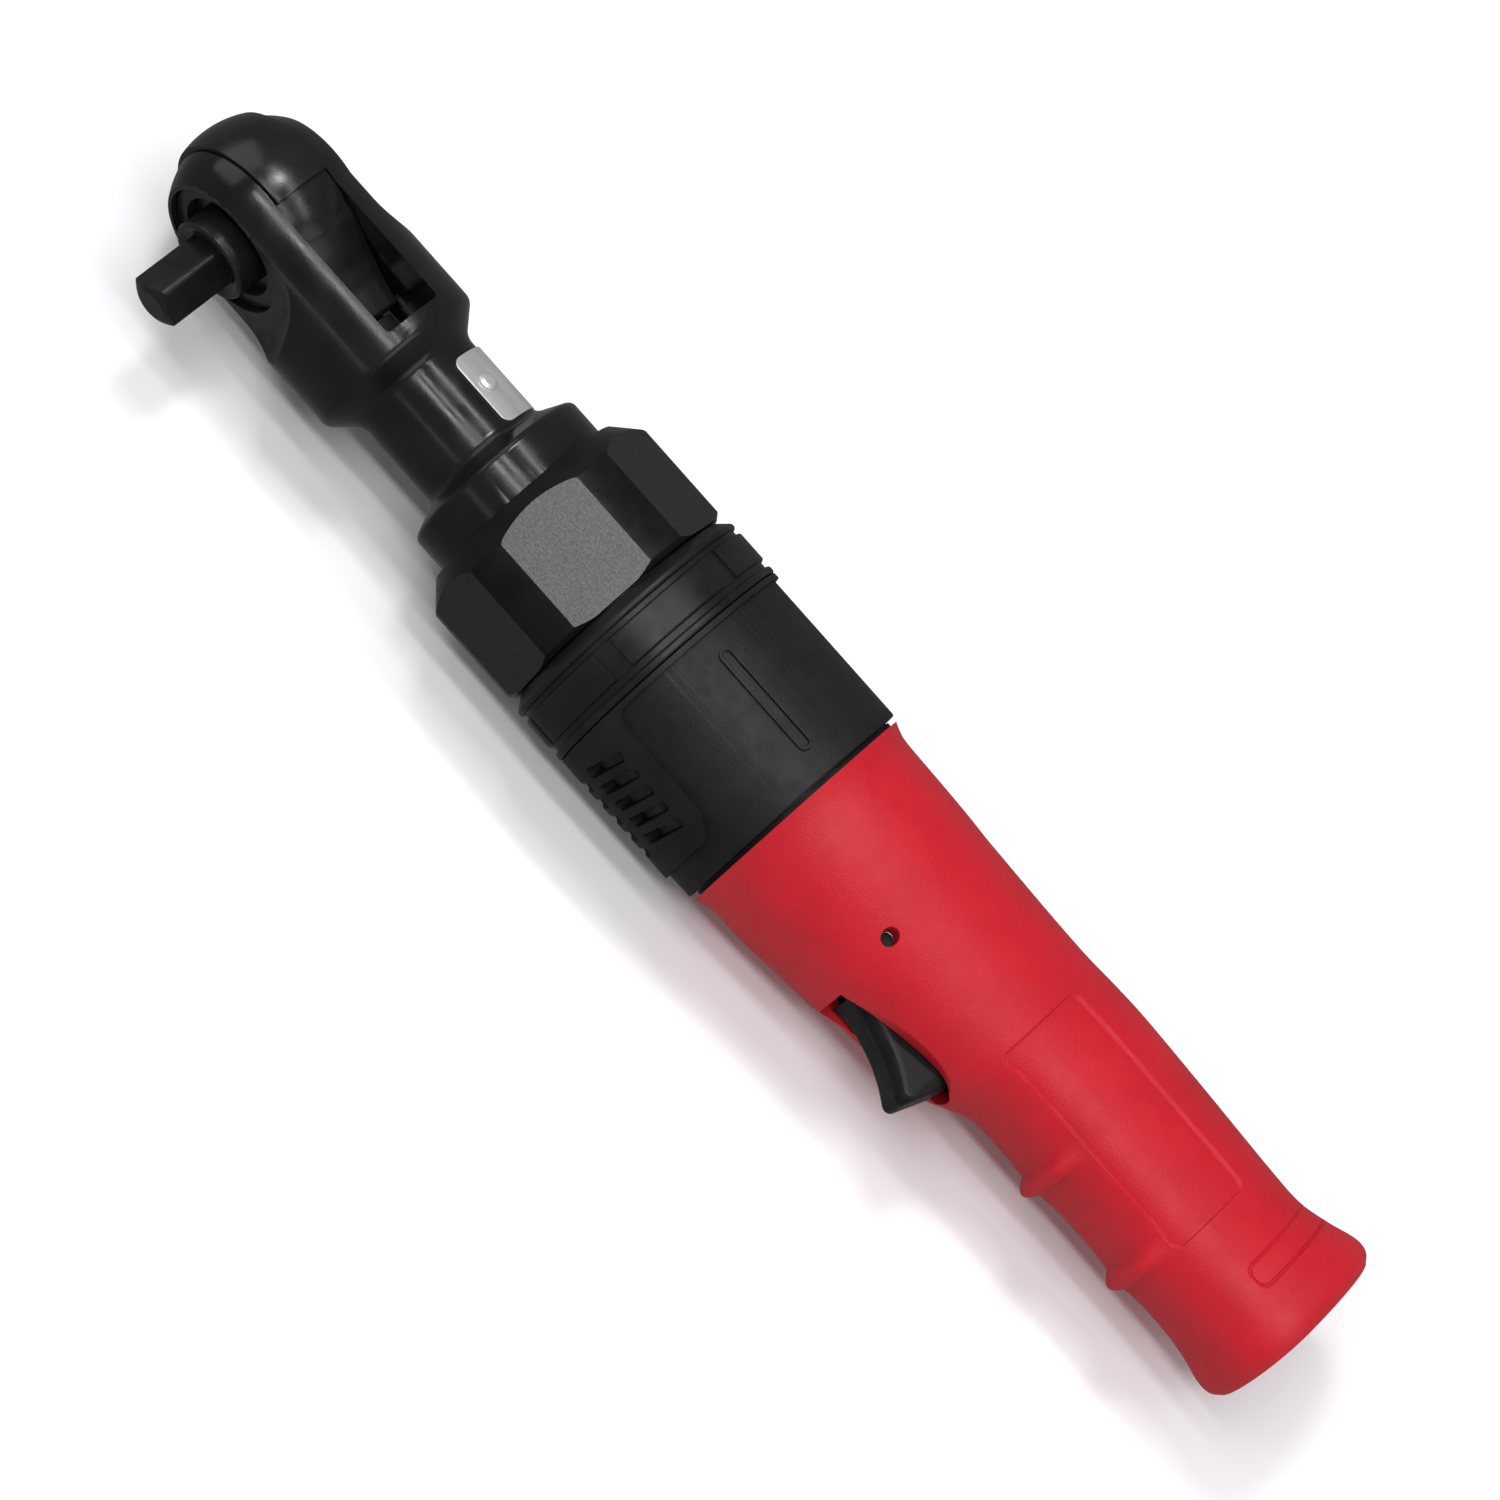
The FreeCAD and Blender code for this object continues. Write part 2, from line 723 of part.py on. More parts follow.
def ratchet_yoke():
    """A ring crowned like the nose over its front half and straight-sided behind, with a tail."""
    low, high = "0 - slot_front + side_gap", "slot_rear - side_gap"
    front = box("yoke_front", ("0 - 40", "yoke_crown_end"), (low, high), ("0 - 40", "40"))
    crown = common("yoke_crown", [sphere("yoke_ball", "yoke_rim_r"), front])
    rim = cylinder("yoke_rim", "yoke_flank_r", f"{high} - ( {low} )", "y", y=low)
    mouth = box(
        "yoke_mouth", ("yoke_fork_start", "40"), ("0 - 20", "20"), ("0 - yoke_fork_half", "yoke_fork_half")
    )
    bore = cylinder("yoke_bore", "yoke_tip_r", "40", "y", y="0 - 20")
    teeth = solid(
        "yoke_tooth_spaces",
        tooth_ring(SIZES["yoke_teeth"], SIZES["yoke_tip_r"] - 0.01, SIZES["yoke_root_r"], -20, 20),
    )
    whole = fuse("yoke_whole", [crown, rim, yoke_tail(low, high)])
    subpart(cut("yoke_cut", whole, [mouth, bore, teeth]), "ratchet_yoke")


# Crankshaft and planetary gears
def crankshaft():
    shaft = turned(
        "crank_shaft",
        [
            ("crank_face", "0"),
            ("crank_face", "crank_disc_r"),
            ("slot_end - 0.2", "crank_disc_r"),
            ("slot_end - 0.2", "crank_r"),
            ("crank_bore_end", "crank_r"),
            ("crank_bore_end + 4", "crank_r + 2"),
            ("carrier_start", "crank_r + 2"),
            ("carrier_start", "carrier_r"),
            ("carrier_end", "carrier_r"),
            ("carrier_end", "0"),
        ],
    )
    pin = cylinder("crank_pin", "crank_pin_r", "crank_face - 24", x="24.5", y="crank_throw")
    holes = [
        cylinder(
            f"planet_pin_hole_{i}", "planet_pin_r", "10", x="carrier_start + 1", y=f"{y:.6f}", z=f"{z:.6f}"
        )
        for i, (y, z, _) in enumerate(polar(3, carrier_radius()))
    ]
    subpart(cut("crank_cut", fuse("crank_whole", [shaft, pin]), holes), "crankshaft")
    bushing = tube(
        "drive_bushing_ring", "bushing_r", "crank_pin_r + running_gap", "25", "crank_face - 0.6",
        y="crank_throw",
    )
    subpart(bushing, "drive_bushing")


def needle_bearing():
    shell = tube(
        "needle_shell", "crank_bore_r", "crank_bore_r - shell_wall", "shell_start", "crank_bore_end - 2"
    )
    subpart(shell, "needle_bearing_shell")
    circle = SIZES["crank_r"] + SIZES["needle_r"] + 0.06
    needles = [
        cylinder(
            f"needle_{i}", "needle_r", "needle_length", x="shell_start + 1.5", y=f"{y:.6f}", z=f"{z:.6f}"
        )
        for i, (y, z, _) in enumerate(polar(16, circle))
    ]
    subpart(fuse("needle_group", needles), "bearing_needles")


def carrier_radius():
    return SIZES["gear_module"] * (SIZES["sun_teeth"] + SIZES["planet_teeth"]) / 2


PRESSURE_ANGLE = 25.0


def involute(angle):
    return math.tan(angle) - angle


def gear_points(teeth, tip, root, play, phase, x):
    """Corners of an involute gear in the plane at x, its teeth thinned by play."""
    pitch = SIZES["gear_module"] * teeth / 2
    pressure = math.radians(PRESSURE_ANGLE)
    base = pitch * math.cos(pressure)
    steps = 5
    points = []
    for tooth in range(int(teeth)):
        middle = phase + 2 * math.pi * tooth / teeth
        flank = []
        for i in range(steps + 1):
            radius = root + (tip - root) * i / steps
            at = math.acos(min(1.0, base / radius))
            half = math.pi / (2 * teeth) - play / (2 * pitch) + involute(pressure) - involute(at)
            flank.append((radius, half))
        flank_in = [(radius, middle - half) for radius, half in flank]
        flank_out = [(radius, middle + half) for radius, half in reversed(flank)]
        points += [V(x, r * math.cos(a), r * math.sin(a)) for r, a in flank_in + flank_out]
    return points


def gear(teeth, phase, play=0.12):
    module = SIZES["gear_module"]
    pitch = module * teeth / 2
    start, end = SIZES["gear_start"], SIZES["gear_end"]
    tip, root = pitch + 0.8 * module, pitch - 1.05 * module
    face = disc_face(gear_points(teeth, tip, root, play, phase, start))
    return face.extrude(V(end - start, 0, 0))


def planetary_gears():
    sun, planet = SIZES["sun_teeth"], SIZES["planet_teeth"]
    pins = []
    for number, (y, z, degrees) in enumerate(polar(3, carrier_radius()), start=1):
        # a tooth space of each planet faces a tooth of the sun
        place_angle = math.radians(degrees)
        phase = place_angle + math.pi + place_angle * sun / planet - math.pi / planet
        shape = gear(planet, phase)
        bore = Part.makeCylinder(
            SIZES["planet_pin_r"] + SIZES["running_gap"], 40, V(80, 0, 0), V(1, 0, 0)
        )
        shape = shape.cut(bore)
        shape.translate(V(0, y, z))
        subpart(solid(f"planet_{number}", shape), f"planet_gear_{number}")
        pins.append(
            cylinder(
                f"planet_pin_{number}", "planet_pin_r", "gear_end + 0.6 - carrier_start - 1",
                x="carrier_start + 1", y=f"{y:.6f}", z=f"{z:.6f}",
            )
        )
    subpart(fuse("planet_pin_group", pins), "planet_pins")


def ring_gear():
    module = SIZES["gear_module"]
    teeth = SIZES["ring_teeth"]
    pitch = module * teeth / 2
    start, end = SIZES["gear_start"] - 0.4, SIZES["gear_end"] + 0.6
    tip, root = pitch + 1.05 * module, pitch - 0.8 * module
    spaces = disc_face(gear_points(teeth, tip, root, -0.12, math.pi / teeth, start))
    blank = Part.makeCylinder(SIZES["case_bore_r"] - 0.05, end - start, V(start, 0, 0), V(1, 0, 0))
    subpart(solid("ring_gear_solid", blank.cut(spaces.extrude(V(end - start, 0, 0)))), "ring_gear")


# Clamp nut and the rings on the barrel
# how far one of the nut's flats is turned from +Z towards -Y
NUT_TURN = 21.5


def coupling_nut():
    half = SIZES["nut_flats"] / 2
    corner = half / math.cos(math.radians(30))
    start, end = SIZES["nut_start"], SIZES["nut_end"]
    points = []
    for i in range(6):
        y, z = clock(NUT_TURN + 30 + 60 * i, corner)
        points.append(V(start, y, z))
    prism = solid("nut_hexagon", disc_face(points).extrude(V(end - start, 0, 0)))
    stock = turned(
        "nut_stock",
        [
            ("nut_start", "flange_r + 0.2"),
            ("nut_start", "nut_face_r"),
            ("nut_start + 5.5", "nut_corner_r"),
            ("nut_end - 1.2", "nut_corner_r"),
            ("nut_end", "nut_corner_r - 1.4"),
            ("nut_end", "case_r + 0.1"),
            ("shoulder_start - 0.1", "case_r + 0.1"),
            ("shoulder_start - 0.1", "flange_r + 0.2"),
        ],
    )
    subpart(common("nut_body", [stock, prism]), "coupling_nut")


def barrel_rings():
    front = turned(
        "front_bead",
        [
            ("bead_start", "case_r + 0.1"),
            ("bead_start", "barrel_r - 2.5"),
            ("bead_start + 2", "barrel_r"),
            ("bead_end - 1.3", "barrel_r"),
            ("bead_end - 1.1", "barrel_r - 0.8"),
            ("bead_end", "barrel_r - 0.8"),
            ("bead_end", "case_r + 0.1"),
        ],
    )
    subpart(front, "front_bead_ring")
    band = turned(
        "collar_turning",
        [
            ("bead_end + 0.1", "case_r + 0.3"),
            ("bead_end + 0.1", "barrel_r"),
            ("band_end", "barrel_r"),
            ("band_end", "barrel_r - 0.8"),
            ("collar_end - 1.8", "barrel_r - 0.8"),
            ("collar_end - 1.8", "barrel_r"),
            ("collar_end", "barrel_r"),
            ("collar_end", "case_r + 0.3"),
        ],
    )
    grooves = []
    for i in range(6):
        y, z = clock(36 + 60 * i + 3, SIZES["barrel_r"] + 1.1)
        grooves.append(
            cylinder(
                f"band_groove_{i}", "band_groove_width / 2 - 0.9", "band_end - bead_end + 1",
                x="bead_end - 0.5", y=f"{y:.5f}", z=f"{z:.5f}",
            )
        )
    subpart(cut("collar_cut", band, grooves), "collar_band")


# Exhaust sleeve
def exhaust_sleeve():
    shell = turned(
        "sleeve_shell",
        [
            ("sleeve_start", "case_r + 0.3"),
            ("sleeve_start", "panel_r"),
            ("sleeve_start + 1.3", "panel_r"),
            ("sleeve_start + 1.3", "sleeve_r"),
            ("sleeve_end", "sleeve_r"),
            ("sleeve_end", "sleeve_bore_r"),
            ("sleeve_start + 2", "sleeve_bore_r"),
            ("sleeve_start + 2", "case_r + 0.3"),
        ],
    )
    middle = 90 + SIZES["sleeve_turn"]
    # a sector cylinder starts at its own zero angle, half a turn from the +Z side
    first = 180 + middle - SIZES["panel_angle"] / 2
    panel = cylinder(
        "exhaust_panel", "panel_r", "panel_end - sleeve_start", x="sleeve_start",
        angle="panel_angle", turn=first,
    )
    hollow = cylinder("panel_hollow", "sleeve_bore_r", "60", x="sleeve_start - 5")
    raised = cut("panel_shell", panel, [hollow])
    louvres = []
    for row, side in enumerate((-1, 1)):
        for i in range(5):
            louvres.append(louvre(f"louvre_{row}_{i}", middle + side * SIZES["louvre_middle"], i))
    whole = fuse("sleeve_whole", [shell, raised])
    subpart(cut("sleeve_cut", whole, louvres), "exhaust_sleeve")


def louvre(name, degrees, index):
    """A slanted slot through the sleeve, its long way round the barrel."""
    item = doc.addObject("Part::Box", name)
    bind(item, "Length", "louvre_width")
    bind(item, "Width", "louvre_long")
    bind(item, "Height", "sleeve_r - sleeve_bore_r + 6")
    out_y, out_z = clock(degrees, 1.0)
    out = V(0, out_y, out_z)
    slant = math.radians(SIZES["louvre_slant"])
    long_way = V(math.sin(slant), out_z * math.cos(slant), -out_y * math.cos(slant))
    wide = long_way.cross(out)
    rotation = FreeCAD.Rotation(wide, long_way, out, "ZXY")
    x = SIZES["louvre_first"] + 2.2 + SIZES["louvre_pitch"] * index
    centre = V(x, 0, 0) + out * (SIZES["sleeve_bore_r"] - 3)
    corner = centre - wide * (SIZES["louvre_width"] / 2) - long_way * (SIZES["louvre_long"] / 2)
    item.Placement = FreeCAD.Placement(corner, rotation)
    return item


# Motor
def motor_case():
    case = turned(
        "case_turning",
        [
            ("case_start", "case_bore_r"),
            ("case_start", "case_r"),
            ("case_end - 1.8", "case_r"),
            ("case_end - 1.8", "sleeve_bore_r - 0.3"),
            ("case_end", "sleeve_bore_r - 0.3"),
            ("case_end", "12"),
            ("rear_plate_end + 3", "8"),
            ("rear_plate_end + 0.2", "8"),
            ("rear_plate_end + 0.2", "case_bore_r"),
        ],
    )
    subpart(cut("case_cut", case, ports("case", "0 - 18", "7")), "motor_case")
    felt = tube(
        "felt_ring", "sleeve_bore_r - 0.4", "case_r + 0.1", "sleeve_start + 2.8", "sleeve_end - 2.4"
    )
    subpart(felt, "muffler_felt")
    subpart(tube("gasket_ring", "26.5", "16", "case_end + 0.05", "grip_start"), "seam_gasket")


def ports(name, inner, half):
    """Boxes for the two exhaust ports, through a wall on the -Y side."""
    boxes = []
    for i in range(2):
        start = f"port_first + port_pitch * {i}"
        boxes.append(
            box(
                f"{name}_port_{i}", (start, f"{start} + port_length"), ("0 - 30", inner),
                (f"0 - {half}", half),
            )
        )
    return boxes


def end_plate(name, start, end, seat_start):
    plate = tube(f"{name}_disc", "case_bore_r - 0.05", "shaft_r + 0.8", start, end)
    seat = cylinder(f"{name}_seat", "bearing_r", "bearing_width + 0.2", x=seat_start)
    return cut(f"{name}_cut", plate, [seat])


def bearing(name, seat_start):
    start, end = f"{seat_start} + 0.1", f"{seat_start} + 0.1 + bearing_width"
    outer = tube(f"{name}_outer_ring", "bearing_r - 0.02", "race_outer_r", start, end)
    subpart(outer, f"{name}_bearing_outer")
    inner = tube(f"{name}_inner_ring", "race_inner_r", "shaft_r", start, end)
    subpart(inner, f"{name}_bearing_inner")
    middle = f"{start} + bearing_width / 2"
    balls = [
        sphere(f"{name}_ball_{i}", "ball_r", middle, f"{y:.6f}", f"{z:.6f}")
        for i, (y, z, _) in enumerate(polar(SIZES["ball_count"], SIZES["ball_circle_r"]))
    ]
    subpart(fuse(f"{name}_balls", balls), f"{name}_bearing_balls")


def motor():
    front = end_plate("front_plate", "plate_start", "cylinder_start - 0.1", "front_seat")
    subpart(front, "front_end_plate")
    rear = end_plate("rear_plate", "cylinder_end + 0.1", "rear_plate_end", "rear_seat")
    subpart(rear, "rear_end_plate")
    bearing("front", "front_seat")
    bearing("rear", "rear_seat")
    barrel = cylinder(
        "cylinder_blank", "case_bore_r - 0.05", "cylinder_end - cylinder_start", x="cylinder_start"
    )
    chamber = cylinder(
        "cylinder_chamber", "chamber_r", "60", x="cylinder_start - 5", y="chamber_offset"
    )
    subpart(cut("cylinder_cut", barrel, [chamber] + ports("cylinder", "0 - 10", "6")), "cylinder")
    rotor()


def rotor():
    body = turned(
        "rotor_turning",
        [
            ("gear_end + 0.4", "0"),
            ("gear_end + 0.4", "shaft_r"),
            ("cylinder_start + 0.3", "shaft_r"),
            ("cylinder_start + 0.3", "rotor_r"),
            ("cylinder_end - 0.3", "rotor_r"),
            ("cylinder_end - 0.3", "shaft_r"),
            ("rear_plate_end - 0.4", "shaft_r"),
            ("rear_plate_end - 0.4", "0"),
        ],
    )
    pinion = solid("sun_pinion", gear(SIZES["sun_teeth"], 0.0))
    neck = cylinder("pinion_neck", "3.6", "2", x="gear_end - 1")
    slots = []
    vanes = []
    for i, (_, _, degrees) in enumerate(polar(SIZES["vane_count"], 1.0)):
        slots.append(vane_box(f"vane_slot_{i}", degrees, 0.0))
        vanes.append(vane_box(f"vane_{i}", degrees, 1.0))
    subpart(cut("rotor_cut", fuse("rotor_whole", [body, pinion, neck]), slots), "rotor")
    subpart(fuse("vane_group", vanes), "rotor_vanes")


def vane_box(name, degrees, fit):
    """A vane standing out of the rotor for fit 1, or its slot, wider and longer, for fit 0."""
    item = doc.addObject("Part::Box", name)
    thickness = SIZES["vane_thickness"] + 0.1 * (1 - fit)
    inner = SIZES["vane_slot_floor"] + 0.2 * fit
    outer = SIZES["rotor_r"] + 0.6 - 0.7 * fit
    whole = SIZES["cylinder_end"] - SIZES["cylinder_start"]
    length = whole + 20 - 21.1 * fit
    item.Length, item.Width, item.Height = length, outer - inner, thickness
    middle = (SIZES["cylinder_start"] + SIZES["cylinder_end"]) / 2
    rotation = FreeCAD.Rotation(V(1, 0, 0), degrees)
    corner = rotation.multVec(V(middle - length / 2, inner, -thickness / 2))
    item.Placement = FreeCAD.Placement(corner, rotation)
    return item


# Handle: sections are two half ellipses that share a width, one towards +Y and one towards -Y
HANDLE = [
    # station, towards +Y, towards -Y, half width along Z
    (166.2, 28.0, 28.0, 28.0),
    (168.0, 27.3, 27.3, 27.3),
    (171.0, 26.7, 26.7, 26.7),
    (180.0, 26.5, 26.4, 26.4),
    (190.0, 26.4, 25.4, 25.4),
    (198.0, 26.2, 24.2, 24.2),
    (207.0, 26.2, 23.4, 22.6),
    (218.0, 26.2, 22.6, 21.0),
    (229.0, 26.4, 20.0, 19.4),
    (238.0, 27.0, 15.2, 18.4),
    (248.0, 27.2, 14.9, 18.0),
    (253.0, 27.0, 15.6, 18.0),
    (257.1, 26.8, 17.4, 18.0),
    (261.2, 26.7, 15.4, 18.0),
    (267.0, 26.5, 13.9, 17.8),
    (278.5, 26.0, 14.2, 17.4),
    (283.3, 25.8, 16.2, 17.3),
    (288.0, 25.6, 14.2, 17.3),
    (297.0, 25.6, 13.9, 17.4),
    (304.0, 27.3, 14.4, 18.4),
    (310.5, 29.5, 15.6, 19.8),
    (313.8, 29.4, 15.4, 19.6),
    (315.8, 27.6, 13.8, 18.0),
]


def handle_section(x, up, down, wide, inset):
    """A closed smooth curve round the handle at one station, inset from its surface."""
    points = []
    for i in range(32):
        angle = 2 * math.pi * i / 32
        reach = up if math.cos(angle) > 0 else down
        points.append(V(x, (reach - inset) * math.cos(angle), (wide - inset) * math.sin(angle)))
    curve = Part.BSplineCurve()
    curve.interpolate(points, PeriodicFlag=True)
    return Part.Wire([curve.toShape()])


def handle_body(inset, first, last):
    rows = [row for row in HANDLE if first <= row[0] <= last]
    return Part.makeLoft([handle_section(*row, inset) for row in rows], True, False)


def lever_notch(half):
    """The arched opening that the lever stands in, through the handle from side to side."""
    start = SIZES["notch_start"]
    back = SIZES["notch_end"]
    arch = Part.BSplineCurve()
    arch.interpolate(
        [
            V(start, -24.2, 0),
            V(204.1, -22.1, 0),
            V(208.2, -20.9, 0),
            V(216.3, -19.2, 0),
            V(222.5, -18.4, 0),
            V(226.7, -18.2, 0),
            V(230.5, -18.5, 0),
            V(back, -20.0, 0),
        ]
    )
    sides = [V(back, -20.0, 0), V(back, -40, 0), V(start, -40, 0), V(start, -24.2, 0)]
    edges = [arch.toShape()]
    edges += [Part.LineSegment(a, b).toShape() for a, b in zip(sides, sides[1:])]
    notch = Part.Face(Part.Wire(edges)).extrude(V(0, 0, 2 * half))
    notch.translate(V(0, 0, -half))
    return notch


def lever_slot(start, margin):
    """The round-ended slot in the middle of the handle that the lever swings into."""
    half = SIZES["lever_slot_half"] + margin
    depth = 40 - SIZES["slot_floor"]
    middle = V(SIZES["slot_round_x"], -40, 0)
    slot = Part.makeBox(middle.x - start, depth, 2 * half, V(start, -40, -half))
    return slot.fuse(Part.makeCylinder(half, depth, middle, V(0, 1, 0)))


def bore_z(radius, half_length):
    """A cylinder along Z about the lever's pin."""
    start = V(SIZES["pin_x"], -SIZES["pin_drop"], -half_length)
    return Part.makeCylinder(radius, 2 * half_length, start, V(0, 0, 1))


def inlet_hole(margin):
    """The hole in the tail that the inlet bushing sits in."""
    corner = V(SIZES["inlet_seat"], SIZES["inlet_y"], 0)
    return Part.makeCylinder(SIZES["inlet_seat_r"] + margin, 40, corner, V(1, 0, 0))


def handle_core():
    inset = SIZES["grip_wall"]
    core = handle_body(inset, 171, 314)
    front = Part.makeCylinder(25.0, 6.7, V(SIZES["grip_start"] + 0.1, 0, 0), V(1, 0, 0))
    core = core.fuse(front)
    inlet_y = SIZES["inlet_y"]
    x_valve = SIZES["valve_x"]
    tools = [
        lever_notch(60),
        lever_slot(SIZES["pin_x"] - 2.3, 0.0),
        bore_z(SIZES["lever_eye_r"] + 0.9, SIZES["lever_slot_half"]),
        bore_z(SIZES["pin_r"], 60),
        Part.makeCylinder(SIZES["valve_bore_r"], 60, V(x_valve, -12, 0), V(0, 1, 0)),
        Part.makeCylinder(SIZES["air_bore_r"], 110, V(x_valve, inlet_y, 0), V(1, 0, 0)),
        Part.makeCylinder(SIZES["air_bore_r"], 60, V(x_valve - 60, 0, 0), V(1, 0, 0)),
        inlet_hole(0.0),
    ]
    for tool in tools:
        core = core.cut(tool)
    subpart(solid("core_solid", core.removeSplitter()), "handle_core")


def grip():
    outer = handle_body(0.0, 166, SIZES["tail_end"])
    inner = handle_body(SIZES["grip_wall"], 171, 314)
    pocket = Part.makeCylinder(25.0, 7.0, V(SIZES["grip_start"] - 0.1, 0, 0), V(1, 0, 0))
    shape = outer.cut(inner).cut(pocket)
    shape = shape.cut(lever_notch(60))
    shape = shape.cut(lever_slot(SIZES["notch_start"], 0.4))
    shape = shape.cut(bore_z(SIZES["pin_r"] + 0.05, 60))
    shape = shape.cut(inlet_hole(0.1))
    panel = Part.makeBox(53.7, 20, 10, V(231.7, -10 - 0.6, 17.2))
    shape = shape.cut(panel.cut(handle_body(0.5, 171, SIZES["tail_end"])))
    subpart(solid("grip_solid", shape), "grip")


# Trigger lever and throttle valve
def lever_side():
    """The lever's outline from the side: a hollow finger face, a round nose and a sloping back."""
    finger = Part.BSplineCurve()
    finger.interpolate(
        [
            V(202.3, -21.1, 0),
            V(206.7, -21.5, 0),
            V(210.8, -22.4, 0),
            V(215.0, -23.6, 0),
            V(219.2, -25.4, 0),
            V(222.0, -27.0, 0),
        ]
    )
    nose = Part.Arc(V(222.0, -27.0, 0), V(225.2, -28.0, 0), V(227.5, -25.2, 0))
    corners = [V(227.5, -25.2, 0), V(229.6, -18.4, 0), V(229.0, -16.4, 0), V(224.0, -16.0, 0)]
    corners += [V(200.0, -10.2, 0), V(198.0, -15.4, 0), V(202.3, -18.2, 0), V(202.3, -21.1, 0)]
    edges = [finger.toShape(), nose.toShape()]
    edges += [Part.LineSegment(a, b).toShape() for a, b in zip(corners, corners[1:])]
    return Part.Face(Part.Wire(edges))


def trigger():
    half = SIZES["lever_half"]
    lever = lever_side().extrude(V(0, 0, 2 * half))
    lever.translate(V(0, 0, -half))
    # the back is rounded in plan, to swing into the slot's round end
    end = SIZES["lever_end"]
    round_r = SIZES["lever_round_r"]
    plan = Part.makeBox(end - round_r - 190, 40, 2 * half, V(190, -40, -half))
    plan = plan.fuse(Part.makeBox(end - 190, 40, 2 * (half - round_r), V(190, -40, round_r - half)))
    for side in (-1, 1):
        middle = V(end - round_r, -40, side * (half - round_r))
        plan = plan.fuse(Part.makeCylinder(round_r, 40, middle, V(0, 1, 0)))
    lever = lever.common(plan)
    hole = bore_z(SIZES["pin_r"] + SIZES["running_gap"], 20)
    lever = lever.fuse(bore_z(SIZES["lever_eye_r"], half)).removeSplitter().cut(hole)
    subpart(solid("lever_solid", lever), "trigger_lever")
    rod = cylinder_part("trigger_pin_rod", "pin_r", "36", "z", "pin_x", "0 - pin_drop", "0 - 18")
    subpart(rod, "trigger_pin")


def cylinder_part(name, radius, length, axis, x, y, z):
    rod = cylinder(f"{name}_rod", radius, length, axis, x, y, z)
    core = cylinder(f"{name}_core", f"{radius} / 2", length, axis, x, y, z)
    return fuse(name, [rod, core])


def throttle_valve():
    stem = cylinder(
        "stem_rod", "valve_stem_r", "valve_stem_low + valve_disc - 0.15", "y", "valve_x",
        "0 - valve_stem_low",
    )
    disc = cylinder("stem_disc", "valve_disc_r", "valve_disc", "y", "valve_x", "0 - 0.15")
    subpart(fuse("stem_whole", [stem, disc]), "valve_stem")
    bush = cylinder("valve_bush_rod", "valve_bore_r", "9.4", "y", "valve_x", "0 - 9.6")
    hole = cylinder("valve_bush_hole", "valve_stem_r + running_gap", "12", "y", "valve_x", "0 - 10")
    subpart(cut("valve_bush_cut", bush, [hole]), "valve_bush")
    spring = coil(3.0, 0.4, SIZES["spring_length"], 6)
    spring.rotate(V(), V(1, 0, 0), -90)
    spring.translate(V(SIZES["valve_x"], SIZES["spring_start"], 0))
    subpart(solid("valve_spring_coil", spring), "valve_spring")
    subpart(
        cylinder_part("valve_plug_rod", "valve_bore_r", "6", "y", "valve_x", "15.2", "0"), "valve_plug"
    )


def inlet():
    bush = cylinder(
        "inlet_bush_rod", "inlet_seat_r", "tail_end - inlet_seat - 0.5", "x", "inlet_seat + 0.1", "inlet_y"
    )
    thread = cylinder("inlet_thread", "inlet_r", "30", "x", "tail_end - inlet_depth", "inlet_y")
    passage = cylinder("inlet_passage", "inlet_passage_r", "30", "x", "inlet_seat - 7", "inlet_y")
    subpart(cut("inlet_bush_cut", bush, [thread, passage]), "inlet_bushing")
    screen = cylinder_part(
        "inlet_screen_rod", "inlet_passage_r - 0.1", "screen_thickness", "x",
        "tail_end - inlet_depth - 2.5", "inlet_y", "0",
    )
    subpart(screen, "inlet_screen")


def check():
    """Every object is sound, and every piece has a whole, valid solid."""
    failed = [item.Name for item in doc.Objects if {"Invalid", "Error"} & set(item.State)]
    assert not failed, failed
    unsound = [
        item.Label
        for item in parts
        if item.Shape.isNull() or not item.Shape.isValid() or not item.Shape.Solids
    ]
    assert not unsound, unsound


def build():
    head_housing()
    nameplate()
    spindle()
    head_small_parts()
    pawl(1, "pawl_front")
    pawl(-1, "pawl_rear")
    reverse_knob()
    ratchet_yoke()
    crankshaft()
    needle_bearing()
    planetary_gears()
    ring_gear()
    coupling_nut()
    barrel_rings()
    exhaust_sleeve()
    motor_case()
    motor()
    handle_core()
    grip()
    trigger()
    throttle_valve()
    inlet()
    doc.recompute()


build()
check()
os.makedirs("parts", exist_ok=True)
for piece in parts:
    piece.Shape.exportStep(f"parts/{piece.Label}.step")
print(len(parts), "pieces")
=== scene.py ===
"""Air ratchet: the looks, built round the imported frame.

Pieces are modelled in millimetres about the tool's own centre line, with X from the square
drive's axis towards the air inlet, the square drive along -Y and the blank panel's side along
+Z. finish_piece() then moves each one into the row frame, in metres.
"""
import json
import math

import bmesh
import bpy
from mathutils import Matrix, Vector


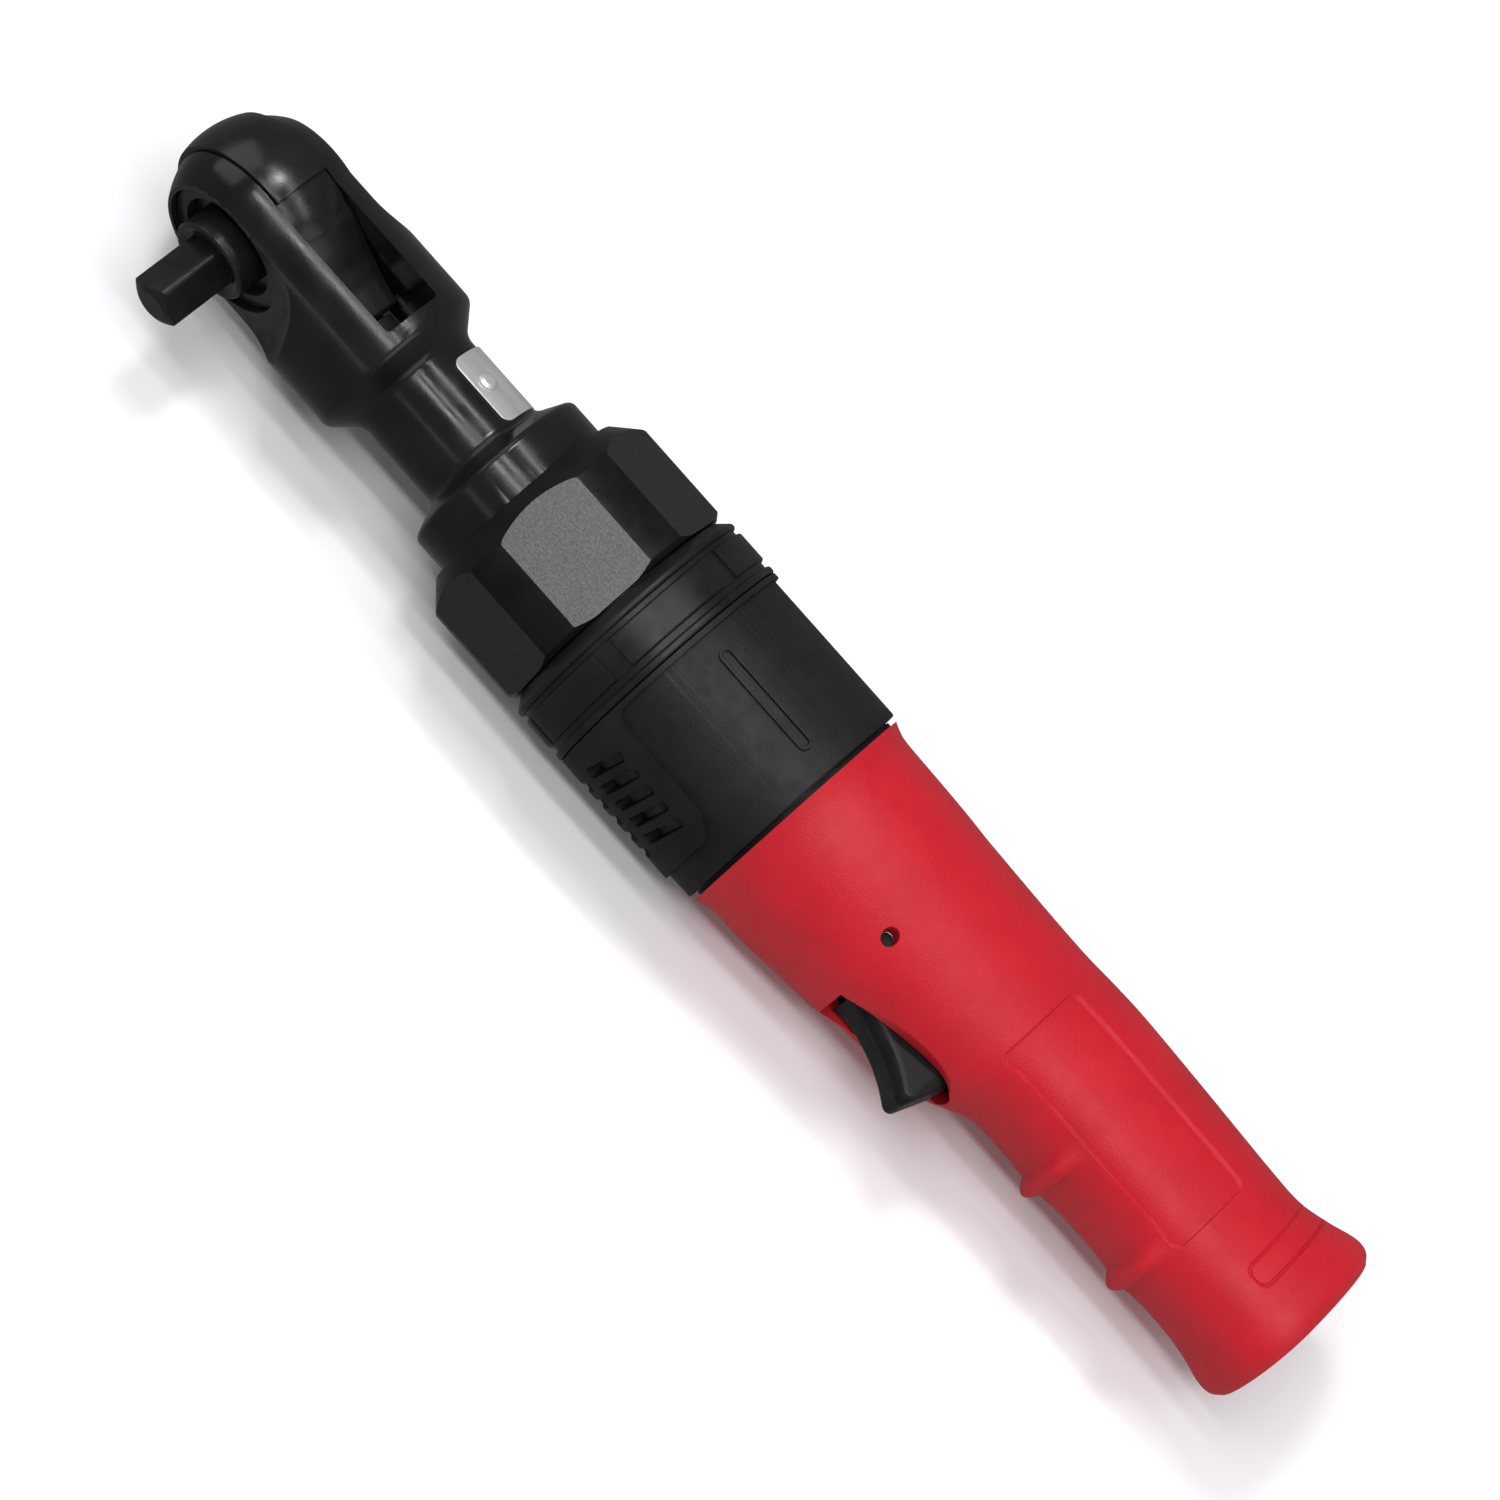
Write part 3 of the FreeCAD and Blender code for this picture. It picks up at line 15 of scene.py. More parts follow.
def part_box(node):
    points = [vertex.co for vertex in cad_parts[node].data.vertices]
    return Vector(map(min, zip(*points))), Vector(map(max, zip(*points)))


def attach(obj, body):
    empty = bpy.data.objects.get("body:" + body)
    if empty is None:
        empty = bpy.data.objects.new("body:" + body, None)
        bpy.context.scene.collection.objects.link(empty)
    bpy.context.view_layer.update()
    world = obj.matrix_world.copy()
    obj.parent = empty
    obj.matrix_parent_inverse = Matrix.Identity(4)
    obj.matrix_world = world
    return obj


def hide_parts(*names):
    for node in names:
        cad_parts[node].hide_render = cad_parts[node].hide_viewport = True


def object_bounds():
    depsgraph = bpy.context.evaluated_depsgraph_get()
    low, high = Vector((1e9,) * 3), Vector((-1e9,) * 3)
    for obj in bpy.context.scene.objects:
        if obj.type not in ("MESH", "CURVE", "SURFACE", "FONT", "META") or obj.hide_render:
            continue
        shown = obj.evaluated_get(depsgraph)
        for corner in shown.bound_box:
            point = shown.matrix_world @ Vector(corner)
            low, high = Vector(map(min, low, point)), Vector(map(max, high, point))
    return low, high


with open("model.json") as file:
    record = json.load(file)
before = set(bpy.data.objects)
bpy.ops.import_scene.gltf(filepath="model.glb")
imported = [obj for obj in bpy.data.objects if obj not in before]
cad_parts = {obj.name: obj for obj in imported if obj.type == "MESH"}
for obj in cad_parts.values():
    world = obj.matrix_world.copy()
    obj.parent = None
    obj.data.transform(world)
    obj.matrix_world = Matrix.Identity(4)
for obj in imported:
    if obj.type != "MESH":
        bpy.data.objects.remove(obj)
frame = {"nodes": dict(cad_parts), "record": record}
cad_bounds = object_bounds()

# ------------------------------------------------------------------ places read from the frame

spindle_low, spindle_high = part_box("spindle")
bead_low, bead_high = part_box("front_bead_ring")
DATUM = Vector((
    (spindle_low.x + spindle_high.x) / 2,
    (bead_low.y + bead_high.y) / 2,
    (bead_low.z + bead_high.z) / 2,
))


def span(node, axis="x"):
    """Where a CAD node starts and ends along one axis, in the tool's own millimetres."""
    low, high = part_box(node)
    return [(getattr(end, axis) - getattr(DATUM, axis)) * 1000 for end in (low, high)]


BARREL_R = span("front_bead_ring", "z")[1]
NUT_START, NUT_END = span("coupling_nut")
BEAD_START, BEAD_END = span("front_bead_ring")
COLLAR_START, COLLAR_END = span("collar_band")
SLEEVE_START, SLEEVE_END = span("exhaust_sleeve")
GRIP_END = span("grip")[1]
DRIVE_TIP = -span("spindle", "y")[0]
KNOB_BASE, KNOB_TOP = span("reverse_knob", "y")
YOKE_LOW, YOKE_HIGH = span("ratchet_yoke", "y")
YOKE_RIM_R = -span("ratchet_yoke")[0]
YOKE_END = span("ratchet_yoke")[1]
PLATE_START, PLATE_END = span("nameplate")
PIN_X = sum(span("trigger_pin")) / 2
PIN_Y = sum(span("trigger_pin", "y")) / 2
INLET_Y = sum(span("inlet_bushing", "y")) / 2
INLET_START, INLET_END = span("inlet_bushing")

# ------------------------------------------------------------------ outlines


def rounded(corners, step=8.0):
    """A closed outline whose corners (x, y, radius) are turned into arcs; no radius, no arc."""
    points = []
    count = len(corners)
    for i, corner in enumerate(corners):
        here = Vector(corner[:2])
        radius = corner[2] if len(corner) > 2 else 0.0
        before = Vector(corners[i - 1][:2]) - here
        after = Vector(corners[(i + 1) % count][:2]) - here
        if radius <= 0 or before.length < 1e-6 or after.length < 1e-6:
            points.append(here)
            continue
        between = before.angle(after)
        reach = radius / math.tan(between / 2)
        reach = min(reach, before.length * 0.499, after.length * 0.499)
        radius = reach * math.tan(between / 2)
        start = here + before.normalized() * reach
        middle = (before.normalized() + after.normalized()).normalized()
        centre = here + middle * (radius / math.sin(between / 2))
        turn = math.pi - between
        if before.cross(after) > 0:
            turn = -turn
        steps = max(2, math.ceil(abs(math.degrees(turn)) / step))
        for k in range(steps + 1):
            points.append(centre + Matrix.Rotation(turn * k / steps, 2) @ (start - centre))
    return points


def smooth_curve(knots, samples):
    """Points on a smooth curve through the knots (Catmull-Rom)."""
    knots = [Vector(k) for k in knots]
    knots = [2 * knots[0] - knots[1]] + knots + [2 * knots[-1] - knots[-2]]
    points = []
    for a, b, c, d in zip(knots, knots[1:], knots[2:], knots[3:]):
        for k in range(samples):
            t = k / samples
            points.append(
                0.5 * ((2 * b) + (c - a) * t + (2 * a - 5 * b + 4 * c - d) * t ** 2
                       + (3 * b - a - 3 * c + d) * t ** 3)
            )
    points.append(knots[-2])
    return points


# ------------------------------------------------------------------ mesh tools


def new_object(name, bm):
    bmesh.ops.remove_doubles(bm, verts=bm.verts, dist=1e-4)
    bmesh.ops.recalc_face_normals(bm, faces=bm.faces)
    mesh = bpy.data.meshes.new(name)
    bm.to_mesh(mesh)
    bm.free()
    obj = bpy.data.objects.new(name, mesh)
    bpy.context.scene.collection.objects.link(obj)
    return obj


def lathe(name, outline, axis="X", steps=240):
    """A closed outline of (along, radius) turned once round X or Y."""
    bm = bmesh.new()
    rings = []
    for along, radius in outline:
        ring = []
        for k in range(1 if radius < 1e-6 else steps):
            angle = 2 * math.pi * k / steps
            u, w = radius * math.cos(angle), radius * math.sin(angle)
            ring.append(bm.verts.new((along, u, w) if axis == "X" else (u, along, w)))
        rings.append(ring)
    for first, second in zip(rings, rings[1:] + rings[:1]):
        for k in range(steps):
            corners = [first[k % len(first)], first[(k + 1) % len(first)],
                       second[(k + 1) % len(second)], second[k % len(second)]]
            corners = list(dict.fromkeys(corners))
            if len(corners) > 2:
                bm.faces.new(corners)
    return new_object(name, bm)


def prism(name, outline, low, high, plane="XY"):
    """An outline in a plane, made solid between low and high across it."""
    place = {
        "XY": lambda p, t: (p[0], p[1], t),
        "XZ": lambda p, t: (p[0], t, p[1]),
        "YZ": lambda p, t: (t, p[0], p[1]),
    }[plane]
    bm = bmesh.new()
    bottom = [bm.verts.new(place(p, low)) for p in outline]
    top = [bm.verts.new(place(p, high)) for p in outline]
    bm.faces.new(bottom)
    bm.faces.new(top)
    count = len(outline)
    for i in range(count):
        j = (i + 1) % count
        bm.faces.new((bottom[i], bottom[j], top[j], top[i]))
    return new_object(name, bm)


def rod(name, start, end, radius, axis="X", steps=240):
    """A cylinder along X or Y."""
    return lathe(name, [(start, 0), (end, 0), (end, radius), (start, radius)], axis, steps)


def block(name, low, high):
    corners = [(low[0], low[1]), (high[0], low[1]), (high[0], high[1]), (low[0], high[1])]
    return prism(name, corners, low[2], high[2])


def move(obj, matrix):
    obj.data.transform(matrix)
    return obj


def bake(obj):
    """Applies the object's modifiers to its mesh."""
    depsgraph = bpy.context.evaluated_depsgraph_get()
    mesh = bpy.data.meshes.new_from_object(obj.evaluated_get(depsgraph))
    obj.modifiers.clear()
    old = obj.data
    obj.data = mesh
    bpy.data.meshes.remove(old)
    return obj


def combine(base, tools, operation="DIFFERENCE"):
    """Joins, cuts or intersects the base with each tool in turn, and uses the tools up."""
    for tool in tools:
        modifier = base.modifiers.new("combine", "BOOLEAN")
        modifier.operation = operation
        modifier.solver = "MANIFOLD"
        modifier.object = tool
        bake(base)
        bpy.data.objects.remove(tool)
    return base


def soften(obj, width, segments=3, angle=35.0):
    """Rounds every edge that is sharper than the angle."""
    modifier = obj.modifiers.new("soften", "BEVEL")
    modifier.width = width
    modifier.segments = segments
    modifier.limit_method = "ANGLE"
    modifier.angle_limit = math.radians(angle)
    modifier.miter_outer = "MITER_ARC"
    modifier.use_clamp_overlap = True
    return bake(obj)


def slice_at(bm, place, normal):
    """Adds edges where a plane crosses the mesh."""
    geometry = bm.verts[:] + bm.edges[:] + bm.faces[:]
    bmesh.ops.bisect_plane(bm, geom=geometry, plane_co=place, plane_no=normal)


def wrap(obj, radius, step=2.0):
    """Bends a flat piece round the barrel. X stays, Y is the way round from +Z towards -Y,
    and Z is the height over the radius."""
    bm = bmesh.new()
    bm.from_mesh(obj.data)
    pitch = radius * math.radians(step)
    low = min(v.co.y for v in bm.verts)
    high = max(v.co.y for v in bm.verts)
    for k in range(math.ceil(low / pitch), math.floor(high / pitch) + 1):
        slice_at(bm, (0, k * pitch, 0), (0, 1, 0))
    bmesh.ops.triangulate(bm, faces=[f for f in bm.faces if len(f.verts) > 4])
    seam = [f for f in bm.faces if min(high - v.co.y for v in f.verts) > high - low - 1e-4
            or min(v.co.y - low for v in f.verts) > high - low - 1e-4]
    if high - low > 2 * math.pi * radius - 1e-3:
        bmesh.ops.delete(bm, geom=seam, context="FACES")
    for v in bm.verts:
        angle = v.co.y / radius
        reach = radius + v.co.z
        v.co.y = -reach * math.sin(angle)
        v.co.z = reach * math.cos(angle)
    bmesh.ops.remove_doubles(bm, verts=bm.verts, dist=1e-3)
    bm.normal_update()
    bmesh.ops.recalc_face_normals(bm, faces=bm.faces)
    bm.to_mesh(obj.data)
    bm.free()
    return obj


def finish_piece(obj, body, materials, nodes=(), sharp=32.0):
    """Puts a finished piece in the row frame, on its body, in place of its CAD nodes."""
    obj.data.transform(Matrix.Translation(DATUM) @ Matrix.Scale(0.001, 4))
    obj.data.materials.clear()
    for mat in materials:
        obj.data.materials.append(mat)
    for polygon in obj.data.polygons:
        polygon.use_smooth = True
        polygon.material_index = 0
    obj.data.set_sharp_from_angle(angle=math.radians(sharp))
    weighted = obj.modifiers.new("normals", "WEIGHTED_NORMAL")
    weighted.keep_sharp = True
    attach(obj, body)
    if nodes:
        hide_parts(*nodes)
    return obj


# ------------------------------------------------------------------ materials


class Nodes:
    """A short way to write a material's nodes."""

    def __init__(self, name):
        self.mat = bpy.data.materials.new(name)
        self.mat.use_nodes = True
        self.tree = self.mat.node_tree
        self.shader = self.tree.nodes["Principled BSDF"]
        self.coords = self.tree.nodes.new("ShaderNodeTexCoord").outputs["Object"]

    def link(self, out, into):
        self.tree.links.new(out, into)

    def noise(self, size, detail, stretch=None):
        """Noise whose features are about size metres across."""
        source = self.coords
        if stretch:
            mapping = self.tree.nodes.new("ShaderNodeMapping")
            mapping.inputs["Scale"].default_value = stretch
            self.link(self.coords, mapping.inputs["Vector"])
            source = mapping.outputs["Vector"]
        node = self.tree.nodes.new("ShaderNodeTexNoise")
        node.inputs["Scale"].default_value = 1.0 / size
        node.inputs["Detail"].default_value = detail
        self.link(source, node.inputs["Vector"])
        return node.outputs["Fac"]

    def ramp(self, fac, low, high):
        """Noise mapped from one colour or grey to another."""
        node = self.tree.nodes.new("ShaderNodeValToRGB")
        for element, value, at in zip(node.color_ramp.elements, (low, high), (0.35, 0.65)):
            element.color = (*value, 1.0) if isinstance(value, tuple) else (value, value, value, 1.0)
            element.position = at
        self.link(fac, node.inputs["Fac"])
        return node.outputs["Color"]

    def bump(self, height, strength, distance):
        node = self.tree.nodes.new("ShaderNodeBump")
        node.inputs["Strength"].default_value = strength
        node.inputs["Distance"].default_value = distance
        self.link(height, node.inputs["Height"])
        return node.outputs["Normal"]


def surface(name, colours, roughness, metallic=0.0, grain=0.0004, grain_bump=0.15, patch=0.012,
            specular=0.5, stretch=None):
    """A finish with two close colours in patches, uneven roughness and a fine grain."""
    n = Nodes(name)
    n.shader.inputs["Metallic"].default_value = metallic
    n.shader.inputs["Specular IOR Level"].default_value = specular
    patches = n.noise(patch, 4.0, stretch)
    n.link(n.ramp(patches, *colours), n.shader.inputs["Base Color"])
    worn = n.noise(patch * 0.3, 5.0, stretch)
    n.link(n.ramp(worn, *roughness), n.shader.inputs["Roughness"])
    fine = n.noise(grain, 2.0, stretch)
    n.link(n.bump(fine, grain_bump, grain * 0.5), n.shader.inputs["Normal"])
    return n.mat


def shade(colour, factor):
    return tuple(min(1.0, c * factor) for c in colour)


def greys(low, high):
    return ((low, low, low * 1.03), (high, high, high * 1.03))


RED = (0.50, 0.0098, 0.0196)
MATERIALS = {
    "head": surface("head_black", greys(0.005, 0.009), (0.16, 0.24), grain=0.0006, grain_bump=0.05,
                    patch=0.02, specular=0.34),
    "head_cut": surface("head_cut", greys(0.02, 0.035), (0.30, 0.40), metallic=0.5, grain_bump=0.1,
                        patch=0.004, specular=0.4),
    "steel_black": surface("steel_black", greys(0.006, 0.011), (0.20, 0.28), grain=0.0005,
                           grain_bump=0.05, specular=0.32),
    "nut_blasted": surface("nut_blasted", greys(0.058, 0.078), (0.38, 0.48), metallic=0.9,
                           grain_bump=0.3, patch=0.0006),
    "nut_turned": surface("nut_turned", greys(0.010, 0.016), (0.26, 0.38), metallic=0.6,
                          grain_bump=0.08, specular=0.2),
    "ring": surface("ring_black", greys(0.006, 0.010), (0.34, 0.46), grain_bump=0.08, specular=0.25),
    "sleeve": surface("sleeve_black", greys(0.007, 0.011), (0.46, 0.58), grain_bump=0.4, specular=0.22),
    "grip": surface("grip_red", (shade(RED, 0.9), RED), (0.44, 0.56), grain=0.0005, grain_bump=0.4,
                    patch=0.015, specular=0.25),
    "trigger": surface("trigger_black", greys(0.006, 0.010), (0.30, 0.42), grain_bump=0.1, specular=0.16),
    "plate": surface("plate_alloy", greys(0.55, 0.68), (0.30, 0.42), metallic=0.6, grain=0.0003,
                     patch=0.004, stretch=(0.15, 1.0, 1.0)),
    "steel": surface("bright_steel", greys(0.50, 0.60), (0.20, 0.32), metallic=1.0, grain=0.0003,
                     grain_bump=0.05),
    "gear": surface("gear_steel", greys(0.26, 0.34), (0.28, 0.42), metallic=1.0, grain_bump=0.1),
    "alloy": surface("cast_alloy", greys(0.50, 0.60), (0.34, 0.48), metallic=1.0, grain=0.0006,
                     grain_bump=0.2),
    "brass": surface("brass", ((0.62, 0.42, 0.16), (0.70, 0.50, 0.22)), (0.24, 0.36), metallic=1.0),
    "bronze": surface("bronze", ((0.40, 0.22, 0.09), (0.48, 0.28, 0.12)), (0.34, 0.46), metallic=1.0),
    "phenolic": surface("phenolic", ((0.16, 0.06, 0.02), (0.24, 0.10, 0.04)), (0.45, 0.6)),
    "felt": surface("felt_grey", greys(0.02, 0.05), (0.85, 0.95), grain=0.0006, grain_bump=0.8,
                    patch=0.003),
    "rubber": surface("seal_rubber", greys(0.006, 0.010), (0.55, 0.7), specular=0.2),
    "floor": surface("floor_white", greys(0.86, 0.88), (0.85, 0.95), grain=0.002, grain_bump=0.02,
                     patch=0.2),
}

# What each of the record's slots looks like on the CAD nodes that stay
SLOT_LOOKS = {
    "head_black": "head", "black_steel": "steel_black", "nut_steel": "nut_blasted",
    "bearing_steel": "steel", "gear_steel": "gear", "bronze": "bronze", "brass": "brass",
    "alloy": "alloy", "plate_alloy": "plate", "sleeve_plastic": "sleeve",
    "trigger_plastic": "trigger", "vane_plastic": "phenolic", "ring_black": "ring",
    "grip_red": "grip", "felt": "felt", "seal_rubber": "rubber", "spring_steel": "steel",
}


# Nodes seen only down a hole or in a gap, given a dark finish that is not their own: painted shade for
# the hole or gap
SHADE_PAINTED_NODES = {
    "front_bush": "steel_black", "trigger_pin": "rubber", "motor_case": "ring",
    "crankshaft": "rubber", "drive_bushing": "rubber", "needle_bearing_shell": "rubber",
}


def dress_cad_nodes():
    for row in frame["record"]["subparts"]:
        obj = frame["nodes"][row["node"]]
        # painted shade: a node in a hole or gap takes a dark finish in place of its own
        look = SHADE_PAINTED_NODES.get(row["node"], SLOT_LOOKS[row["material_slot"]])
        obj.data.materials.clear()
        obj.data.materials.append(MATERIALS[look])


# ------------------------------------------------------------------ head

HEAD_R = 20.2
NOSE_R = 21.0
NOSE_STEPS = 40
BAR_START, BAR_END = 8.0, 41.0
NECK_START, NECK_END = 46.5, 68.0
NECK_R = 14.4
FLANGE_START, FLANGE_END = 71.4, 84.9
FLANGE_R = 21.8
FRONT_FLAT = 13.3
REAR_FLAT = 14.2
SPOT_R = 24.8
SPOT_FILLET = 5.5
SLOT_END = 37.9
SLOT_FIT = 0.2
RECESS_FLOOR = 11.0
RECESS_R = 15.3
FRONT_BORE_R = 11.9
REAR_BORE_R = 9.0
CRANK_BORE_R = 9.6
CRANK_BORE_END = 62.0
# distances from the head's middle that are outside it
CLEAR = 30
FAR = 40.0


def head_casting():
    nose_end = math.pi - math.asin(HEAD_R / NOSE_R)
    nose = []
    for k in range(NOSE_STEPS + 1):
        angle = nose_end * k / NOSE_STEPS
        nose.append((-NOSE_R * math.cos(angle), NOSE_R * math.sin(angle)))
    bar = nose + rounded([
        (BAR_START, HEAD_R), (BAR_END, HEAD_R, 3.0), (NECK_START, NECK_R, 4.0), (NECK_END, NECK_R, 3.0),
        (FLANGE_START, FLANGE_R, 1.8), (FLANGE_END, FLANGE_R), (FLANGE_END, 0), (BAR_START, 0),
    ])[:-1]
    casting = lathe("head_casting", bar)
    front = [(-FAR, 0), (-FRONT_FLAT, 0), (-FRONT_FLAT, SPOT_R, SPOT_FILLET), (-FAR, SPOT_R)]
    back = [(FAR, 0), (REAR_FLAT, 0), (REAR_FLAT, SPOT_R, SPOT_FILLET), (FAR, SPOT_R)]
    slot_low, slot_high = YOKE_LOW - SLOT_FIT, YOKE_HIGH + SLOT_FIT
    slot = [(-FAR, slot_low), (SLOT_END, slot_low, 1.0), (SLOT_END, slot_high, 1.0), (-FAR, slot_high)]
    in_slot = 5
    tools = [
        lathe("spot_face", rounded(front), "Y"),
        lathe("rear_spot_face", rounded(back), "Y"),
        prism("yoke_slot", rounded(slot, 15), -FAR, FAR),
        rod("recess", -CLEAR, -RECESS_FLOOR, RECESS_R, "Y"),
        rod("bush_hole", -CLEAR, -in_slot, FRONT_BORE_R, "Y"),
        rod("rear_bush_hole", in_slot, CLEAR, REAR_BORE_R, "Y"),
        rod("crank_hole", CLEAR, CRANK_BORE_END, CRANK_BORE_R),
    ]
    combine(casting, tools)
    soften(casting, 0.45, 3)
    finish_piece(
        casting, "tool_body", [MATERIALS["head"], MATERIALS["head_cut"]], ["head_housing"],
    )
    touch = 0.1
    for polygon in casting.data.polygons:
        x, y, z = (polygon.center - DATUM) * 1000
        if y < -FRONT_FLAT + touch and math.hypot(x, z) < SPOT_R - touch:
            polygon.material_index = 1


def retainer():
    face, back = -11.8, -11.05
    inner, outer = 12.0, 15.2
    ring = lathe("retainer_ring", rounded([
        (face, inner, 0.3), (face, outer, 0.3), (back, outer), (back, inner),
    ]), "Y")
    finish_piece(ring, "tool_body", [MATERIALS["steel_black"]], ["retainer_plate"])


# ------------------------------------------------------------------ spindle

SQUARE = 9.5
SQUARE_TURN = 52.5
SQUARE_CORNER = 1.0
SPINDLE_FACE = 17.3
DISH = 0.5
DISH_R = 7.0
BOSS_R = 9.5
JOURNAL_START = -5.9
JOURNAL_R = 11.2
REAR_STEM_R = 7.0
REAR_POST_R = 4.0
REAR_POST = 1.2
# how far out, how low and how high the two pockets for the pawls reach, and half their width
PAWL_POCKET = (3.2, 12.5)
POCKET_LOW, POCKET_HIGH, POCKET_HALF = -4.5, 6.5, 4.6


def spindle_drive():
    face = -SPINDLE_FACE
    rear = REAR_FLAT - 0.2
    rear_end = REAR_FLAT + REAR_POST
    stock = lathe("spindle_drive", rounded([
        (face + DISH, 0), (face + DISH, DISH_R, 0.8), (face, 8.4, 0.8), (face, 9.1, 0.3),
        (face + 0.6, BOSS_R, 0.3), (JOURNAL_START, BOSS_R), (JOURNAL_START, JOURNAL_R, 0.3),
        (YOKE_HIGH, JOURNAL_R, 0.3), (YOKE_HIGH, REAR_STEM_R), (rear, REAR_STEM_R),
        (rear, REAR_POST_R), (rear_end, REAR_POST_R, 0.4), (rear_end, 0),
    ]), "Y")
    half = SQUARE / 2
    square = prism("square", rounded([
        (-half, -half, SQUARE_CORNER), (half, -half, SQUARE_CORNER),
        (half, half, SQUARE_CORNER), (-half, half, SQUARE_CORNER),
    ], 15), -DRIVE_TIP, face + 2, "XZ")
    past_corner = half * math.sqrt(2) + 0.4
    tip = lathe("square_tip", rounded([
        (-DRIVE_TIP, 0), (-DRIVE_TIP, 3.7, 1.5), (-DRIVE_TIP + 1.3, 6.5, 0.8),
        (-DRIVE_TIP + 2.2, past_corner), (face + 3, past_corner), (face + 3, 0),
    ]), "Y")
    combine(square, [tip], "INTERSECT")
    move(square, Matrix.Rotation(math.radians(SQUARE_TURN), 4, "Y"))
    combine(stock, [square], "UNION")
    near, far = PAWL_POCKET
    pockets = [
        block("pawl_pocket", (low, POCKET_LOW, -POCKET_HALF), (high, POCKET_HIGH, POCKET_HALF))
        for low, high in ((near, far), (-far, -near))
    ]
    combine(stock, pockets)
    soften(stock, 0.35, 3, 40)
    finish_piece(stock, "spindle", [MATERIALS["steel_black"]], ["spindle"])


# ------------------------------------------------------------------ yoke

YOKE_FLANK_R = 20.6
CROWN_END = 3.0
TAPER_START = 17.0
TAPER = 1.7
# the tail's edge on one side, seen along the square drive: along, out, corner radius
TAIL_SIDE = [
    (2, 20), (12.8, 16.3, 6), (17, 12.7, 10), (21, 9.8, 10), (25.4, 7.5, 10), (YOKE_END, 5.6, 1.2),
]
TEETH = 60
TOOTH_TIP_R, TOOTH_ROOT_R = 13.0, 13.9
FORK_START = 22.4
FORK_HALF = 4.3


def crown(radius):
    """Half the outline of a slice of a ball, as thick as the yoke."""
    steps = 40
    profile = [(YOKE_LOW, 0)]
    for k in range(steps + 1):
        y = YOKE_LOW + (YOKE_HIGH - YOKE_LOW) * k / steps
        profile.append((y, math.sqrt(radius ** 2 - y ** 2)))
    return profile + [(YOKE_HIGH, 0)]


def crowned(obj, radius):
    """Narrows a straight-sided piece towards both faces, the way crown() does."""
    steps = 20
    bm = bmesh.new()
    bm.from_mesh(obj.data)
    for k in range(1, steps):
        slice_at(bm, (0, YOKE_LOW + (YOKE_HIGH - YOKE_LOW) * k / steps, 0), (0, 1, 0))
    for v in bm.verts:
        v.co.z *= math.sqrt(1 - (v.co.y / radius) ** 2)
    bm.to_mesh(obj.data)
    bm.free()
    return obj


def yoke_ring():
    """A crowned ring with a tail that thins towards its forked end; the flanks sit a little lower."""
    yoke = lathe("yoke_ring", crown(YOKE_RIM_R), "Y")
    front = block("yoke_front", (-FAR, -CLEAR, -FAR), (CROWN_END, CLEAR, FAR))
    combine(yoke, [front], "INTERSECT")
    rim = lathe("yoke_rim", crown(YOKE_FLANK_R), "Y")
    mirrored = [(point[0], -point[1], *point[2:]) for point in TAIL_SIDE]
    tail_plan = rounded(mirrored + TAIL_SIDE[::-1])
    tail = crowned(prism("yoke_tail", tail_plan, YOKE_LOW, YOKE_HIGH, "XZ"), YOKE_RIM_R)
    wedges = []
    for face, way in ((YOKE_HIGH, 1), (YOKE_LOW, -1)):
        wedges.append(prism("yoke_taper", [
            (TAPER_START, face), (YOKE_END, face - way * TAPER), (FAR, face - way * TAPER),
            (FAR, face + way * 3), (TAPER_START, face + way * 3),
        ], -CLEAR, CLEAR))
    combine(tail, wedges)
    combine(yoke, [rim, tail], "UNION")
    teeth = []
    for k in range(2 * TEETH):
        radius = TOOTH_ROOT_R if k % 2 else TOOTH_TIP_R
        angle = math.pi * k / TEETH
        teeth.append((radius * math.cos(angle), radius * math.sin(angle)))
    bore = prism("yoke_bore", teeth, -CLEAR, CLEAR, "XZ")
    mouth = block("yoke_mouth", (FORK_START, -CLEAR, -FORK_HALF), (FAR, CLEAR, FORK_HALF))
    combine(yoke, [bore, mouth])
    soften(yoke, 0.5, 3, 40)
    finish_piece(yoke, "ratchet_yoke", [MATERIALS["steel_black"]], ["ratchet_yoke"])


# ------------------------------------------------------------------ reverse knob

KNOB_R = 10.5
KNOB_DISC = 1.6
RIB_LENGTH, RIB_WIDTH, RIB_CORNER = 18.8, 4.8, 1.6
KNOB_HOLE_R, KNOB_HOLE_DEPTH = 4.1, 1.2
DENTS = 24
DENT_R, DENT_CIRCLE = 0.8, 10.8


